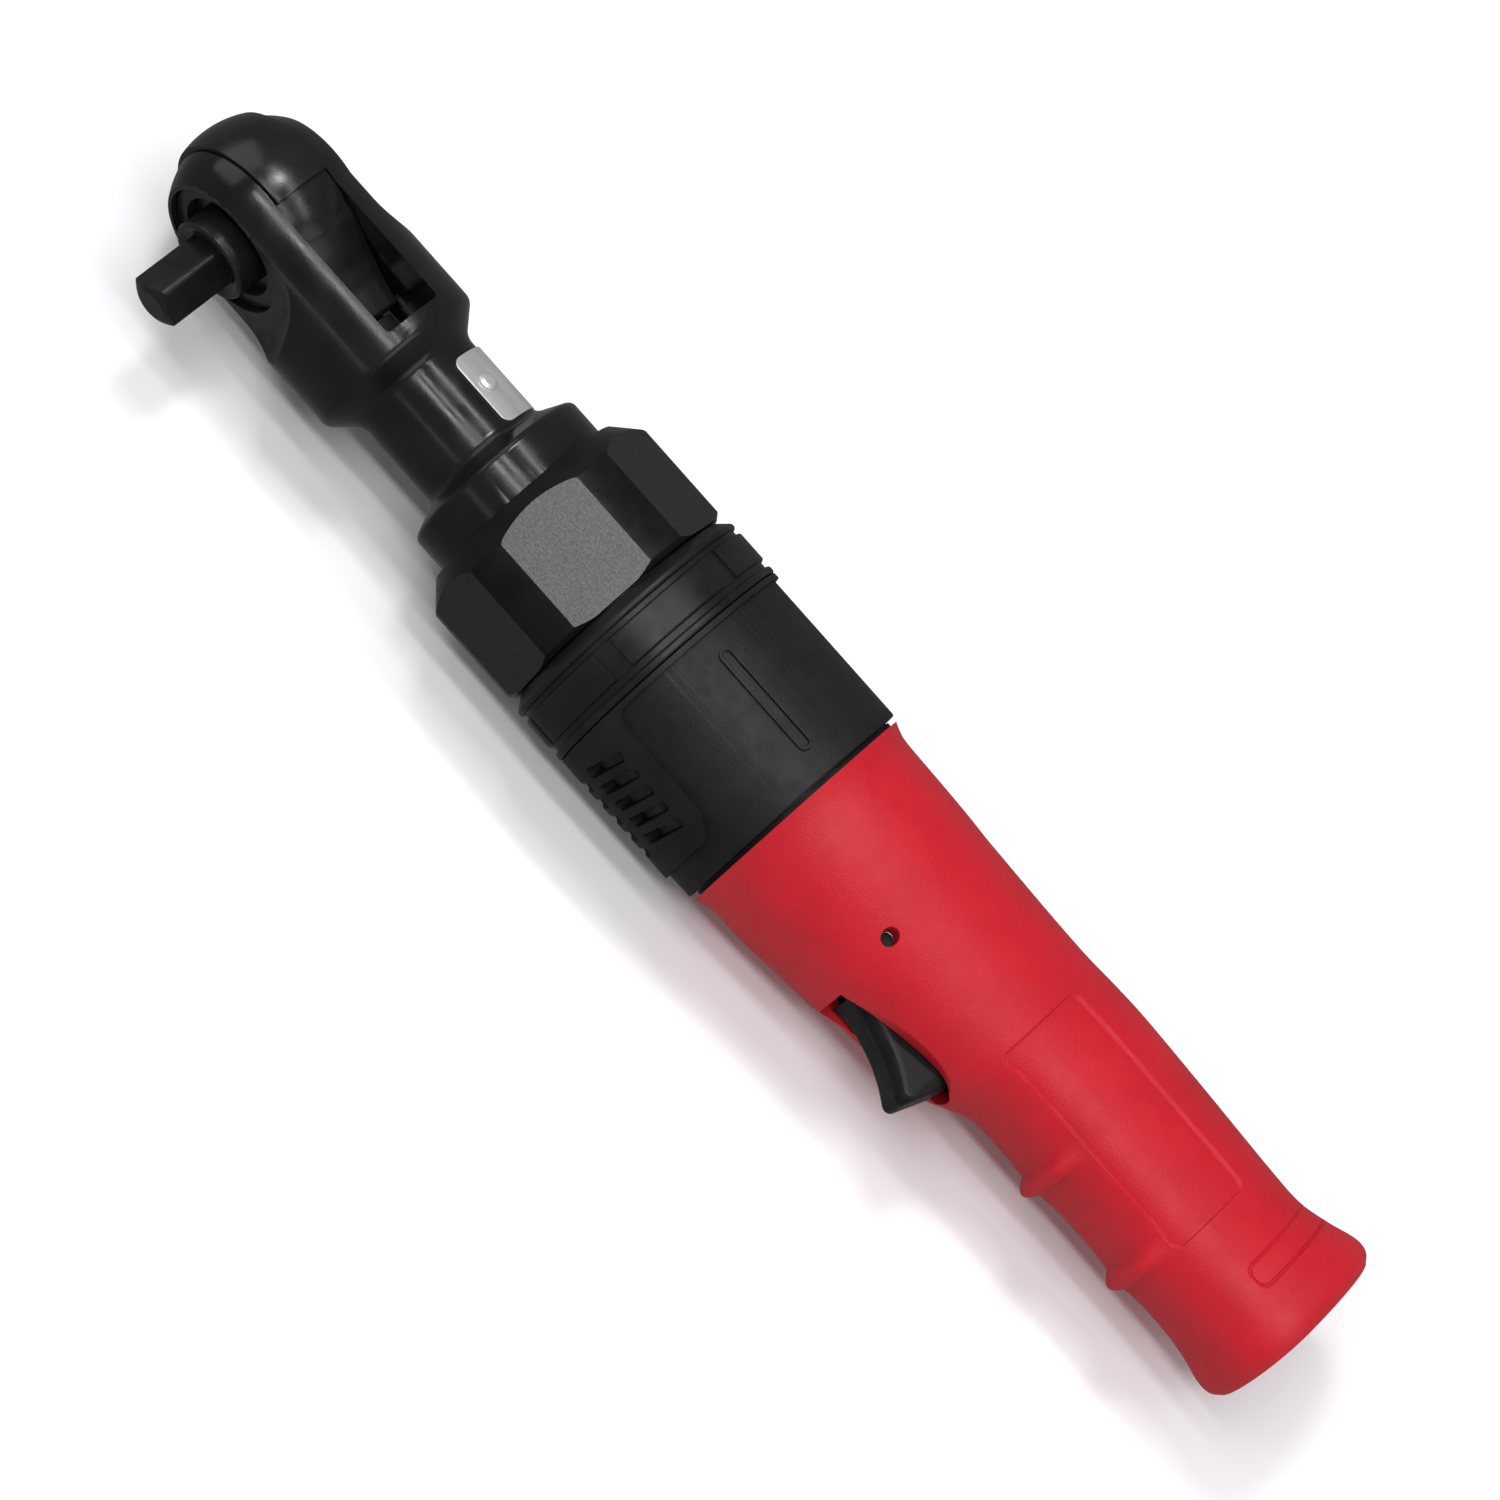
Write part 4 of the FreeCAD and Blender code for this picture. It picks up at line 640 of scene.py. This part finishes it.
def reverse_knob():
    disc_top = KNOB_BASE + KNOB_DISC
    cap = lathe("reverse_knob_cap", rounded([
        (KNOB_BASE, 0), (KNOB_BASE, KNOB_R, 0.3), (disc_top, KNOB_R - 0.3, 0.5), (disc_top, 0),
    ]), "Y")
    length, width = RIB_LENGTH / 2, RIB_WIDTH / 2
    rib = prism("knob_rib", rounded([
        (-length, -width, RIB_CORNER), (length, -width, RIB_CORNER),
        (length, width, RIB_CORNER), (-length, width, RIB_CORNER),
    ]), KNOB_BASE + 1, KNOB_TOP, "XZ")
    combine(cap, [rib], "UNION")
    combine(cap, [rod("knob_hole", KNOB_BASE - 1, KNOB_BASE + KNOB_HOLE_DEPTH, KNOB_HOLE_R, "Y")])
    dents = []
    for k in range(DENTS):
        angle = 2 * math.pi * k / DENTS
        dent = rod("knob_dent", KNOB_BASE - 1, KNOB_TOP + 1, DENT_R, "Y", 16)
        place = Vector((DENT_CIRCLE * math.cos(angle), 0, DENT_CIRCLE * math.sin(angle)))
        dents.append(move(dent, Matrix.Translation(place)))
    combine(cap, dents)
    soften(cap, 0.25, 2)
    finish_piece(cap, "reverse_knob", [MATERIALS["steel_black"]], ["reverse_knob"])


# ------------------------------------------------------------------ nameplate

PLATE_WRAP = 159.0
PLATE_MIDDLE = -90.0
PLATE_CORNER = 2.2
PLATE_THICKNESS = 0.25
RIVET_ANGLE = 65.0
# along the rivet's axis, radius, corner radius
RIVET_DOME = [(0, 0), (0, 2.2), (0.35, 2.2, 0.2), (0.9, 1.4, 0.7), (0.95, 0)]
RIVET_SEAT = 0.45


def plate():
    radius = NECK_R + PLATE_THICKNESS
    half = math.radians(PLATE_WRAP / 2) * radius
    centre = math.radians(PLATE_MIDDLE) * radius
    corners = [
        (PLATE_START, centre - half, PLATE_CORNER), (PLATE_END, centre - half, PLATE_CORNER),
        (PLATE_END, centre + half, PLATE_CORNER), (PLATE_START, centre + half, PLATE_CORNER),
    ]
    sheet = prism("blank_plate", rounded(corners), -0.2, PLATE_THICKNESS)
    soften(sheet, 0.12, 2)
    wrap(sheet, radius)
    finish_piece(sheet, "tool_body", [MATERIALS["plate"]], ["nameplate"])


def plate_rivets():
    heads = bmesh.new()
    dome = rounded(RIVET_DOME)
    middle = Vector((sum(span("nameplate_rivets")) / 2, 0, 0))
    angle = math.radians(RIVET_ANGLE)
    for side in (-1, 1):
        rivet = lathe("rivet", dome, "X", 48)
        out = Vector((0, math.cos(angle), side * math.sin(angle)))
        turn = Vector((1, 0, 0)).rotation_difference(out).to_matrix().to_4x4()
        move(rivet, Matrix.Translation(middle + out * (NECK_R + RIVET_SEAT)) @ turn)
        heads.from_mesh(rivet.data)
        bpy.data.objects.remove(rivet)
    rivets = new_object("plate_rivets", heads)
    finish_piece(rivets, "tool_body", [MATERIALS["plate"]], ["nameplate_rivets"])


# ------------------------------------------------------------------ nut and rings

NUT_FLATS = 54.6
NUT_CORNER_R = 29.2
NUT_TURN = 21.5
NUT_FACE_R = 24.2
NUT_BORE_R = 24.3
NUT_CHAMFER = 5.5
NUT_SHOULDER = 85.1
NUT_LIP_R = FLANGE_R + 0.15


def clamp_nut():
    stock = lathe("clamp_nut", rounded([
        (NUT_START, NUT_LIP_R, 0.6), (NUT_START, NUT_FACE_R, 0.8),
        (NUT_START + NUT_CHAMFER, NUT_CORNER_R, 1.6), (NUT_END - 1.2, NUT_CORNER_R, 0.5),
        (NUT_END, NUT_CORNER_R - 1.3, 0.4), (NUT_END, NUT_BORE_R),
        (NUT_SHOULDER, NUT_BORE_R), (NUT_SHOULDER, NUT_LIP_R),
    ]), steps=360)
    corner = NUT_FLATS / 2 / math.cos(math.radians(30))
    hexagon = []
    for k in range(6):
        angle = math.radians(NUT_TURN + 30 + 60 * k)
        hexagon.append((-corner * math.sin(angle), corner * math.cos(angle)))
    combine(stock, [prism("hexagon", hexagon, NUT_START - 1, NUT_END + 1, "YZ")], "INTERSECT")
    soften(stock, 0.5, 3, 20)
    nut = finish_piece(
        stock, "tool_body", [MATERIALS["nut_turned"], MATERIALS["nut_blasted"]],
        ["coupling_nut"], 28,
    )
    for polygon in nut.data.polygons:
        normal = polygon.normal
        angle = math.degrees(math.atan2(-normal.y, normal.z)) - NUT_TURN
        off_flat = abs((angle + 30) % 60 - 30)
        if abs(normal.x) < 0.1 and off_flat < 1.0:
            polygon.material_index = 1


def bead_ring():
    lower = BARREL_R - 0.9
    ring = lathe("bead_ring", rounded([
        (BEAD_START, NUT_BORE_R), (BEAD_START, BARREL_R - 2.5, 0.3), (BEAD_START + 2.2, BARREL_R, 0.9),
        (BEAD_END - 1.4, BARREL_R, 0.8), (BEAD_END - 1.1, lower, 0.2),
        (BEAD_END, lower), (BEAD_END, NUT_BORE_R),
    ]), steps=360)
    finish_piece(ring, "tool_body", [MATERIALS["ring"]], ["front_bead_ring"])


COLLAR_BORE_R = 24.5
BAND_WIDTH = 7.3
GROOVES = 6
GROOVE_FIRST = 39
GROOVE_HALF, GROOVE_DEPTH = 2.4, 0.7


def collar():
    lower = BARREL_R - 0.9
    band_end = COLLAR_START + BAND_WIDTH
    ring = lathe("collar_ring", rounded([
        (COLLAR_START, COLLAR_BORE_R), (COLLAR_START, BARREL_R, 0.5), (band_end, BARREL_R, 0.5),
        (band_end + 0.2, lower, 0.2), (COLLAR_END - 1.9, lower, 0.2),
        (COLLAR_END - 1.7, BARREL_R, 0.7), (COLLAR_END - 0.1, BARREL_R, 0.7),
        (COLLAR_END, BARREL_R - 1.2, 0.2), (COLLAR_END, COLLAR_BORE_R),
    ]), steps=360)
    grooves = []
    for k in range(GROOVES):
        middle = math.radians(GROOVE_FIRST + 60 * k) * BARREL_R
        low, high = middle - GROOVE_HALF, middle + GROOVE_HALF
        start, end = COLLAR_START - 1, band_end + 0.6
        outline = [(start, low), (end, low), (end, high), (start, high)]
        grooves.append(wrap(prism("groove", outline, -GROOVE_DEPTH, 3), BARREL_R))
    combine(ring, grooves)
    soften(ring, 0.3, 2)
    finish_piece(ring, "exhaust_sleeve", [MATERIALS["ring"]], ["collar_band"])


# ------------------------------------------------------------------ exhaust sleeve

SLEEVE_R = 28.5
SLEEVE_BORE_R = 26.4
SLEEVE_LIP_R = 24.6
SLEEVE_LIP = 2
PANEL_R = 29.6
PANEL_MIDDLE = 94.5
PANEL_ANGLE = 79.0
PANEL_END = 158.8
PANEL_SLANT = (4.2, 3.4)
PANEL_CORNER = 4.0
BAND_MARGIN = 1.3
TRACK_ENDS = (131.9, 158.75)
TRACK_ANGLE = 3.2
TRACK_HALF, TRACK_RISE, TRACK_LINE = 1.65, 0.7, 0.6
LOUVRES = 5
LOUVRE_FIRST = 134.6
LOUVRE_PITCH = 4.48
LOUVRE_SLANT = 2.2
LOUVRE_HALF = 1.25
LOUVRE_NEAR, LOUVRE_FAR = 4.0, 30.5


def round_way(degrees):
    """Length round the sleeve's surface for an angle from +Z towards -Y."""
    return math.radians(degrees) * SLEEVE_R


def exhaust():
    lip_end = SLEEVE_START + SLEEVE_LIP
    shell = lathe("vented_sleeve", rounded([
        (SLEEVE_START, SLEEVE_LIP_R), (SLEEVE_START, SLEEVE_R, 0.4), (SLEEVE_END, SLEEVE_R, 0.5),
        (SLEEVE_END, SLEEVE_BORE_R), (lip_end, SLEEVE_BORE_R), (lip_end, SLEEVE_LIP_R),
    ]), steps=360)
    low = round_way(PANEL_MIDDLE - PANEL_ANGLE / 2)
    high = round_way(PANEL_MIDDLE + PANEL_ANGLE / 2)
    half_way = round_way(180.0)
    middle = round_way(PANEL_MIDDLE)
    start = SLEEVE_START + 0.1
    band = SLEEVE_START + BAND_MARGIN
    along, across = PANEL_SLANT
    panel = prism("panel", rounded([
        (start, middle - half_way), (band, middle - half_way), (band, low, PANEL_CORNER),
        (PANEL_END - along, low, 1.2), (PANEL_END, low + across, 1.2),
        (PANEL_END, high - across, 1.2), (PANEL_END - along, high, 1.2),
        (band, high, PANEL_CORNER), (band, middle + half_way), (start, middle + half_way),
    ]), -1.2, PANEL_R - SLEEVE_R)
    combine(shell, [wrap(panel, SLEEVE_R)], "UNION")
    combine(shell, [louvre(row, k) for row in (-1, 1) for k in range(LOUVRES)])
    soften(shell, 0.5, 3, 45)
    finish_piece(shell, "exhaust_sleeve", [MATERIALS["sleeve"]], ["exhaust_sleeve"])
    track = stadium_ring("track_outline", *TRACK_ENDS, round_way(TRACK_ANGLE), TRACK_HALF, TRACK_RISE)
    finish_piece(track, "exhaust_sleeve", [MATERIALS["sleeve"]])


def louvre(row, k):
    """One slanted slot: its two ends differ by about half a pitch along X."""
    near = round_way(PANEL_MIDDLE + row * LOUVRE_NEAR)
    far = round_way(PANEL_MIDDLE + row * LOUVRE_FAR)
    first, second = (near, far) if row > 0 else (far, near)
    x_first = LOUVRE_FIRST + LOUVRE_PITCH * k
    x_second = x_first - LOUVRE_SLANT
    outline = rounded([
        (x_first - LOUVRE_HALF, first, 1.0), (x_first + LOUVRE_HALF, first, 1.0),
        (x_second + LOUVRE_HALF, second, 1.0), (x_second - LOUVRE_HALF, second, 1.0),
    ], 30)
    return wrap(prism("louvre", outline, -4, 4), SLEEVE_R)


def stadium(start, end, middle, half):
    """A flat outline with round ends."""
    corner = half * 0.99
    return rounded([
        (start, middle - half, corner), (end, middle - half, corner),
        (end, middle + half, corner), (start, middle + half, corner),
    ], 15)


def stadium_ring(name, start, end, middle, half, rise):
    """A raised outline with round ends, laid on the sleeve."""
    ring = prism(name, stadium(start, end, middle, half), -0.2, rise)
    inner = stadium(start + TRACK_LINE, end - TRACK_LINE, middle, half - TRACK_LINE)
    combine(ring, [prism("inside", inner, -1, 1)])
    soften(ring, 0.2, 2)
    return wrap(ring, SLEEVE_R)


# ------------------------------------------------------------------ grip

# station, reach towards +Y, reach towards -Y, half width along Z
HANDLE = [
    (166.2, 28.0, 28.0, 28.0),
    (168.0, 27.3, 27.3, 27.3),
    (171.0, 26.7, 26.7, 26.7),
    (180.0, 26.5, 26.4, 26.4),
    (190.0, 26.4, 25.4, 25.4),
    (197.0, 26.2, 25.0, 24.2),
    (201.0, 26.2, 24.3, 23.6),
    (207.0, 26.2, 22.9, 22.6),
    (218.0, 26.2, 22.4, 21.0),
    (229.0, 26.4, 20.0, 19.4),
    (238.0, 27.0, 15.2, 18.4),
    (248.0, 27.2, 14.4, 18.0),
    (267.0, 26.5, 13.9, 17.8),
    (288.0, 25.6, 13.9, 17.3),
    (297.0, 25.6, 13.9, 17.4),
    (304.0, 27.3, 14.4, 18.4),
    (310.5, 29.5, 15.6, 19.8),
    (313.8, 29.4, 15.4, 19.6),
    (GRIP_END, 27.6, 13.8, 18.0),
]
# station and height of the two finger ridges
RIDGES = ((257.1, 3.2), (283.3, 2.8))
RIDGE_HALF, RIDGE_SPREAD = 2.7, 6.0
# ends along X, ends round the near side, corner radius
LABEL_PANEL = (231.9, 285.4, -10.9, 9.2, 2.0)
LABEL_TRACK = (297.4, 303.4, -1.6, 23.4, 2.9)
PANEL_DEPTH, LINE_DEPTH = 0.6, 0.5
# the stretch with ridges and mouldings, where the rows lie closer together
DETAIL_START, DETAIL_END = 231, 304


def step(value, low, high):
    """Nothing below low, one above high, and a smooth rise between."""
    t = min(1.0, max(0.0, (value - low) / (high - low)))
    return t * t * (3 - 2 * t)


def ridge_height(x, away):
    """Finger ridges on the -Y side; away is the angle from -Y, in degrees."""
    fade = 1 - step(away, 30.0, 54.0)
    total = 0.0
    for at, rise in RIDGES:
        across = abs(x - at) / RIDGE_HALF
        if across < 1:
            total += rise * (1 - across ** 2) ** 1.3
        total += 0.25 * rise * math.exp(-((x - at) / RIDGE_SPREAD) ** 2)
    return total * fade


def inside(x, s, frame_size):
    """Signed distance in millimetres into a rounded rectangle; s runs round the near side."""
    x_low, x_high, s_low, s_high, radius = frame_size
    dx = abs(x - (x_low + x_high) / 2) - (x_high - x_low) / 2 + radius
    ds = abs(s - (s_low + s_high) / 2) - (s_high - s_low) / 2 + radius
    outside = math.hypot(max(dx, 0), max(ds, 0)) + min(max(dx, ds), 0) - radius
    return -outside


def moulding(x, s):
    """Depth of the blank label panel's sunk floor and of the outlined track by the tail."""
    panel = PANEL_DEPTH * step(inside(x, s, LABEL_PANEL), -0.2, 0.3)
    track = inside(x, s, LABEL_TRACK)
    line = step(track, -0.1, 0.2) * (1 - step(track, 0.5, 0.8))
    return panel + LINE_DEPTH * line


def handle_rows():
    """Smooth values of the handle's reaches, closer together where the surface has detail."""
    knots = smooth_curve([Vector(row) for row in HANDLE], 40)
    rows = []
    x = HANDLE[0][0]
    i = 0
    while x < GRIP_END:
        while knots[i + 1][0] < x:
            i += 1
        a, b = knots[i], knots[i + 1]
        rows.append(a.lerp(b, (x - a[0]) / (b[0] - a[0])))
        x += 0.3 if DETAIL_START < x < DETAIL_END else 0.5
    rows.append(knots[-1])
    return rows


def grip_angles():
    """Angles from +Y, positive over the +Z side, where the moulded details are."""
    angles = []
    angle = -180.0
    while angle < 180.0 - 1e-6:
        angles.append(angle)
        angle += 0.9 if 0 <= angle < 180 else 1.8
    return angles


def grip_body():
    bm = bmesh.new()
    rings = []
    angles = [math.radians(a) for a in grip_angles()]
    for x, up, down, wide in (tuple(row) for row in handle_rows()):
        ring = []
        for angle in angles:
            reach = up
            if math.cos(angle) < 0:
                reach = down + ridge_height(x, math.degrees(math.pi - abs(angle)))
            place = Vector((reach * math.cos(angle), wide * math.sin(angle)))
            if angle > 0 and x > DETAIL_START - 1:
                s = wide * (angle - math.pi / 2)
                place *= 1 - moulding(x, -s) / place.length
            ring.append(bm.verts.new((x, place.x, place.y)))
        rings.append(ring)
    count = len(angles)
    for first, second in zip(rings, rings[1:]):
        for k in range(count):
            j = (k + 1) % count
            bm.faces.new((first[k], first[j], second[j], second[k]))
    bm.faces.new(rings[0])
    bm.faces.new(rings[-1])
    return new_object("moulded_grip", bm)


NOTCH_START, NOTCH_END = 200.6, 232.8
# places outside the grip, under it and on either side
BELOW = -45
BEYOND = 60
LEVER_SLOT_HALF = 7.2
LEVER_SLOT_ROUND_X = 225.0
LEVER_SLOT_FLOOR = -9.9
PIN_HOLE_R = 1.9
INLET_HOLE = (300, 330)
INLET_HOLE_R = 10.05


def notch():
    arch = smooth_curve([
        (NOTCH_START, -24.2), (201.8, -23.0), (204.1, -22.1), (208.2, -20.9), (216.3, -19.2),
        (222.5, -18.4), (226.7, -18.2), (230.5, -18.5), (NOTCH_END, -20.0),
    ], 8)
    outline = [Vector((NOTCH_START, BELOW))] + arch + [Vector((NOTCH_END, BELOW))]
    return prism("notch", outline, -BEYOND, BEYOND)


def lever_slot():
    plan = [(NOTCH_START, -LEVER_SLOT_HALF)]
    steps = 32
    for k in range(steps + 1):
        angle = math.radians(-90 + 180 * k / steps)
        x = LEVER_SLOT_ROUND_X + LEVER_SLOT_HALF * math.cos(angle)
        plan.append((x, LEVER_SLOT_HALF * math.sin(angle)))
    plan.append((NOTCH_START, LEVER_SLOT_HALF))
    return prism("lever_slot", plan, BELOW, LEVER_SLOT_FLOOR, "XZ")


def pin_circle(radius, steps):
    """A circle round the trigger pin."""
    ring = []
    for k in range(steps):
        angle = 2 * math.pi * k / steps
        ring.append((PIN_X + radius * math.cos(angle), PIN_Y + radius * math.sin(angle)))
    return ring


def grip():
    body = grip_body()
    pin_hole = prism("pin_hole", pin_circle(PIN_HOLE_R, 48), -BEYOND, BEYOND)
    inlet = rod("inlet_hole", *INLET_HOLE, INLET_HOLE_R)
    move(inlet, Matrix.Translation((0, INLET_Y, 0)))
    combine(body, [notch(), lever_slot(), pin_hole, inlet])
    soften(body, 0.6, 3, 50)
    finish_piece(body, "tool_body", [MATERIALS["grip"]], ["grip"])


# ------------------------------------------------------------------ trigger

LEVER_HALF = 6.5
LEVER_ROUND = 3.2
LEVER_FRONT, LEVER_REAR = 190, 229.7
LEVER_PLAN_R = 4.5
EYE_R, EYE_HOLE_R = 3.4, 1.65
# above this height the lever keeps its full width
ROUND_BELOW = -18.5
ROUND_START, ROUND_FULL = 202.0, 209.0


def lever():
    finger = smooth_curve([
        (202.3, -21.1), (206.7, -21.5), (210.8, -22.4), (215.0, -23.6), (219.2, -25.4), (222.0, -27.0),
    ], 8)
    nose = rounded([
        (222.0, -27.0), (225.6, -29.4, 3.2), (229.6, -18.4, 0.5), (229.0, -16.4), (224.0, -16.0),
        (200.0, -10.2), (198.0, -15.4), (202.3, -18.2),
    ])
    body = round_under(prism("squeeze_lever", finger + nose[1:], -LEVER_HALF, LEVER_HALF))
    plan = rounded([
        (LEVER_FRONT, -LEVER_HALF), (LEVER_REAR, -LEVER_HALF, LEVER_PLAN_R),
        (LEVER_REAR, LEVER_HALF, LEVER_PLAN_R), (LEVER_FRONT, LEVER_HALF),
    ], 10)
    combine(body, [prism("lever_plan", plan, -50, 0, "XZ")], "INTERSECT")
    soften(body, 0.8, 4, 40)
    combine(body, [prism("lever_eye", pin_circle(EYE_R, 36), -LEVER_HALF, LEVER_HALF)], "UNION")
    combine(body, [prism("eye_hole", pin_circle(EYE_HOLE_R, 36), -9, 9)])
    finish_piece(body, "trigger", [MATERIALS["trigger"]], ["trigger_lever"])


def round_under(obj):
    """Rounds the long lower edges of the lever, fading out towards its front end."""
    bm = bmesh.new()
    bm.from_mesh(obj.data)
    straight = LEVER_HALF - LEVER_ROUND
    for k in range(8):
        height = straight + LEVER_ROUND * math.sin(math.radians(11 * k))
        for z in (-height, height):
            slice_at(bm, (0, 0, z), (0, 0, 1))
    for v in bm.verts:
        across = min(LEVER_ROUND, max(0.0, abs(v.co.z) - straight))
        if v.co.y < ROUND_BELOW:
            rise = LEVER_ROUND - math.sqrt(LEVER_ROUND ** 2 - across ** 2)
            v.co.y += rise * step(v.co.x, ROUND_START, ROUND_FULL)
    bm.to_mesh(obj.data)
    bm.free()
    return obj


INLET_R = 9.9
INLET_MOUTH_R, INLET_BORE_R, INLET_PASSAGE_R = 6.6, 5.75, 4.5
INLET_THREAD = 13.5


def inlet_bush():
    thread_end = INLET_END - INLET_THREAD
    body = lathe("inlet_bush", rounded([
        (INLET_START, INLET_PASSAGE_R), (INLET_START, INLET_R, 0.3), (INLET_END, INLET_R, 0.5),
        (INLET_END, INLET_MOUTH_R, 0.2), (INLET_END - 0.8, INLET_BORE_R), (thread_end, INLET_BORE_R),
        (thread_end, INLET_PASSAGE_R),
    ]))
    move(body, Matrix.Translation((0, INLET_Y, 0)))
    finish_piece(body, "tool_body", [MATERIALS["steel"]], ["inlet_bushing"])


# ------------------------------------------------------------------ floor, light and camera

VIEW_TILT = 24.5
PICTURE_TURN = 48.4
FOOT_X = 174.4
AIM_X = 150.4
AIM_SHIFT = 1.25
CAMERA_DISTANCE = 1020.0
LENS = 117.5
LIGHT_AIM_X = 150
ROOM_LIGHT = 0.18
FLOOR_HALF = 3.0
FLOOR_GAP = 0.0005


def placed(point):
    """A point of the tool's own millimetres in the row frame."""
    return DATUM + Vector(point) * 0.001


def view_axes():
    tilt = math.radians(VIEW_TILT)
    towards = Vector((0, -math.sin(tilt), math.cos(tilt)))
    up = Vector((0, math.cos(tilt), math.sin(tilt)))
    return towards, up


def look(obj, position, target, up_hint):
    back = (position - target).normalized()
    right = up_hint.cross(back).normalized()
    up = back.cross(right)
    obj.matrix_world = Matrix.Translation(position) @ Matrix((right, up, back)).transposed().to_4x4()


def camera():
    towards, up = view_axes()
    data = bpy.data.cameras.new("camera")
    obj = bpy.data.objects.new("camera", data)
    bpy.context.scene.collection.objects.link(obj)
    turn = math.radians(PICTURE_TURN)
    picture_up = -math.sin(turn) * Vector((1, 0, 0)) + math.cos(turn) * up
    position = placed(Vector((FOOT_X, 0, 0)) + towards * CAMERA_DISTANCE)
    target = placed(Vector((AIM_X, 0, 0)) + up * AIM_SHIFT)
    look(obj, position, target, picture_up)
    data.lens = LENS
    data.sensor_width = 36.0
    data.clip_end = 20.0
    bpy.context.scene.camera = obj


# name, degrees left, degrees up, distance in millimetres, width and height in metres, watts
LIGHTS = [
    ("window", 24, 33, 1400, 0.18, 0.30, 5.0),
    ("top_strip", 0, 40, 1400, 1.80, 0.10, 6.4),
    ("high_strip", 0, 17.5, 1400, 1.60, 0.07, 5.4),
    ("middle_strip", 0, 6.6, 1400, 1.40, 0.08, 7.0),
    ("low_strip", 0, -35, 1400, 1.40, 0.05, 0.6),
    ("left_fill", 65, 12, 1500, 1.00, 1.00, 4.2),
    ("right_fill", -65, 12, 1500, 1.00, 1.00, 4.8),
]


def studio():
    towards, up = view_axes()
    middle = placed((LIGHT_AIM_X, 0, 0))
    for name, left, rise, distance, width, height, power in LIGHTS:
        data = bpy.data.lights.new(name, "AREA")
        data.shape = "RECTANGLE"
        data.size = width
        data.size_y = height
        data.energy = power
        obj = bpy.data.objects.new(name, data)
        bpy.context.scene.collection.objects.link(obj)
        side, lift = math.radians(left), math.radians(rise)
        way = math.cos(lift) * (math.cos(side) * towards - math.sin(side) * Vector((1, 0, 0)))
        look(obj, middle + (way + math.sin(lift) * up) * distance * 0.001, middle, up)
    world = bpy.data.worlds.new("studio")
    bpy.context.scene.world = world
    world.use_nodes = True
    background = world.node_tree.nodes["Background"]
    background.inputs["Color"].default_value = (1, 1, 1, 1)
    background.inputs["Strength"].default_value = ROOM_LIGHT
    bpy.context.scene.view_settings.view_transform = "Standard"
    bm = bmesh.new()
    bmesh.ops.create_grid(bm, x_segments=2, y_segments=2, size=FLOOR_HALF)
    floor = new_object("floor", bm)
    floor.location = (0, 0, cad_bounds[0].z - FLOOR_GAP)
    floor.data.materials.append(MATERIALS["floor"])
    # the black finishes mirror the room, not the white floor
    floor.visible_glossy = False


# ------------------------------------------------------------------ the whole tool


dress_cad_nodes()
head_casting()
retainer()
spindle_drive()
yoke_ring()
reverse_knob()
plate()
plate_rivets()
clamp_nut()
bead_ring()
collar()
exhaust()
grip()
lever()
inlet_bush()
camera()
studio()
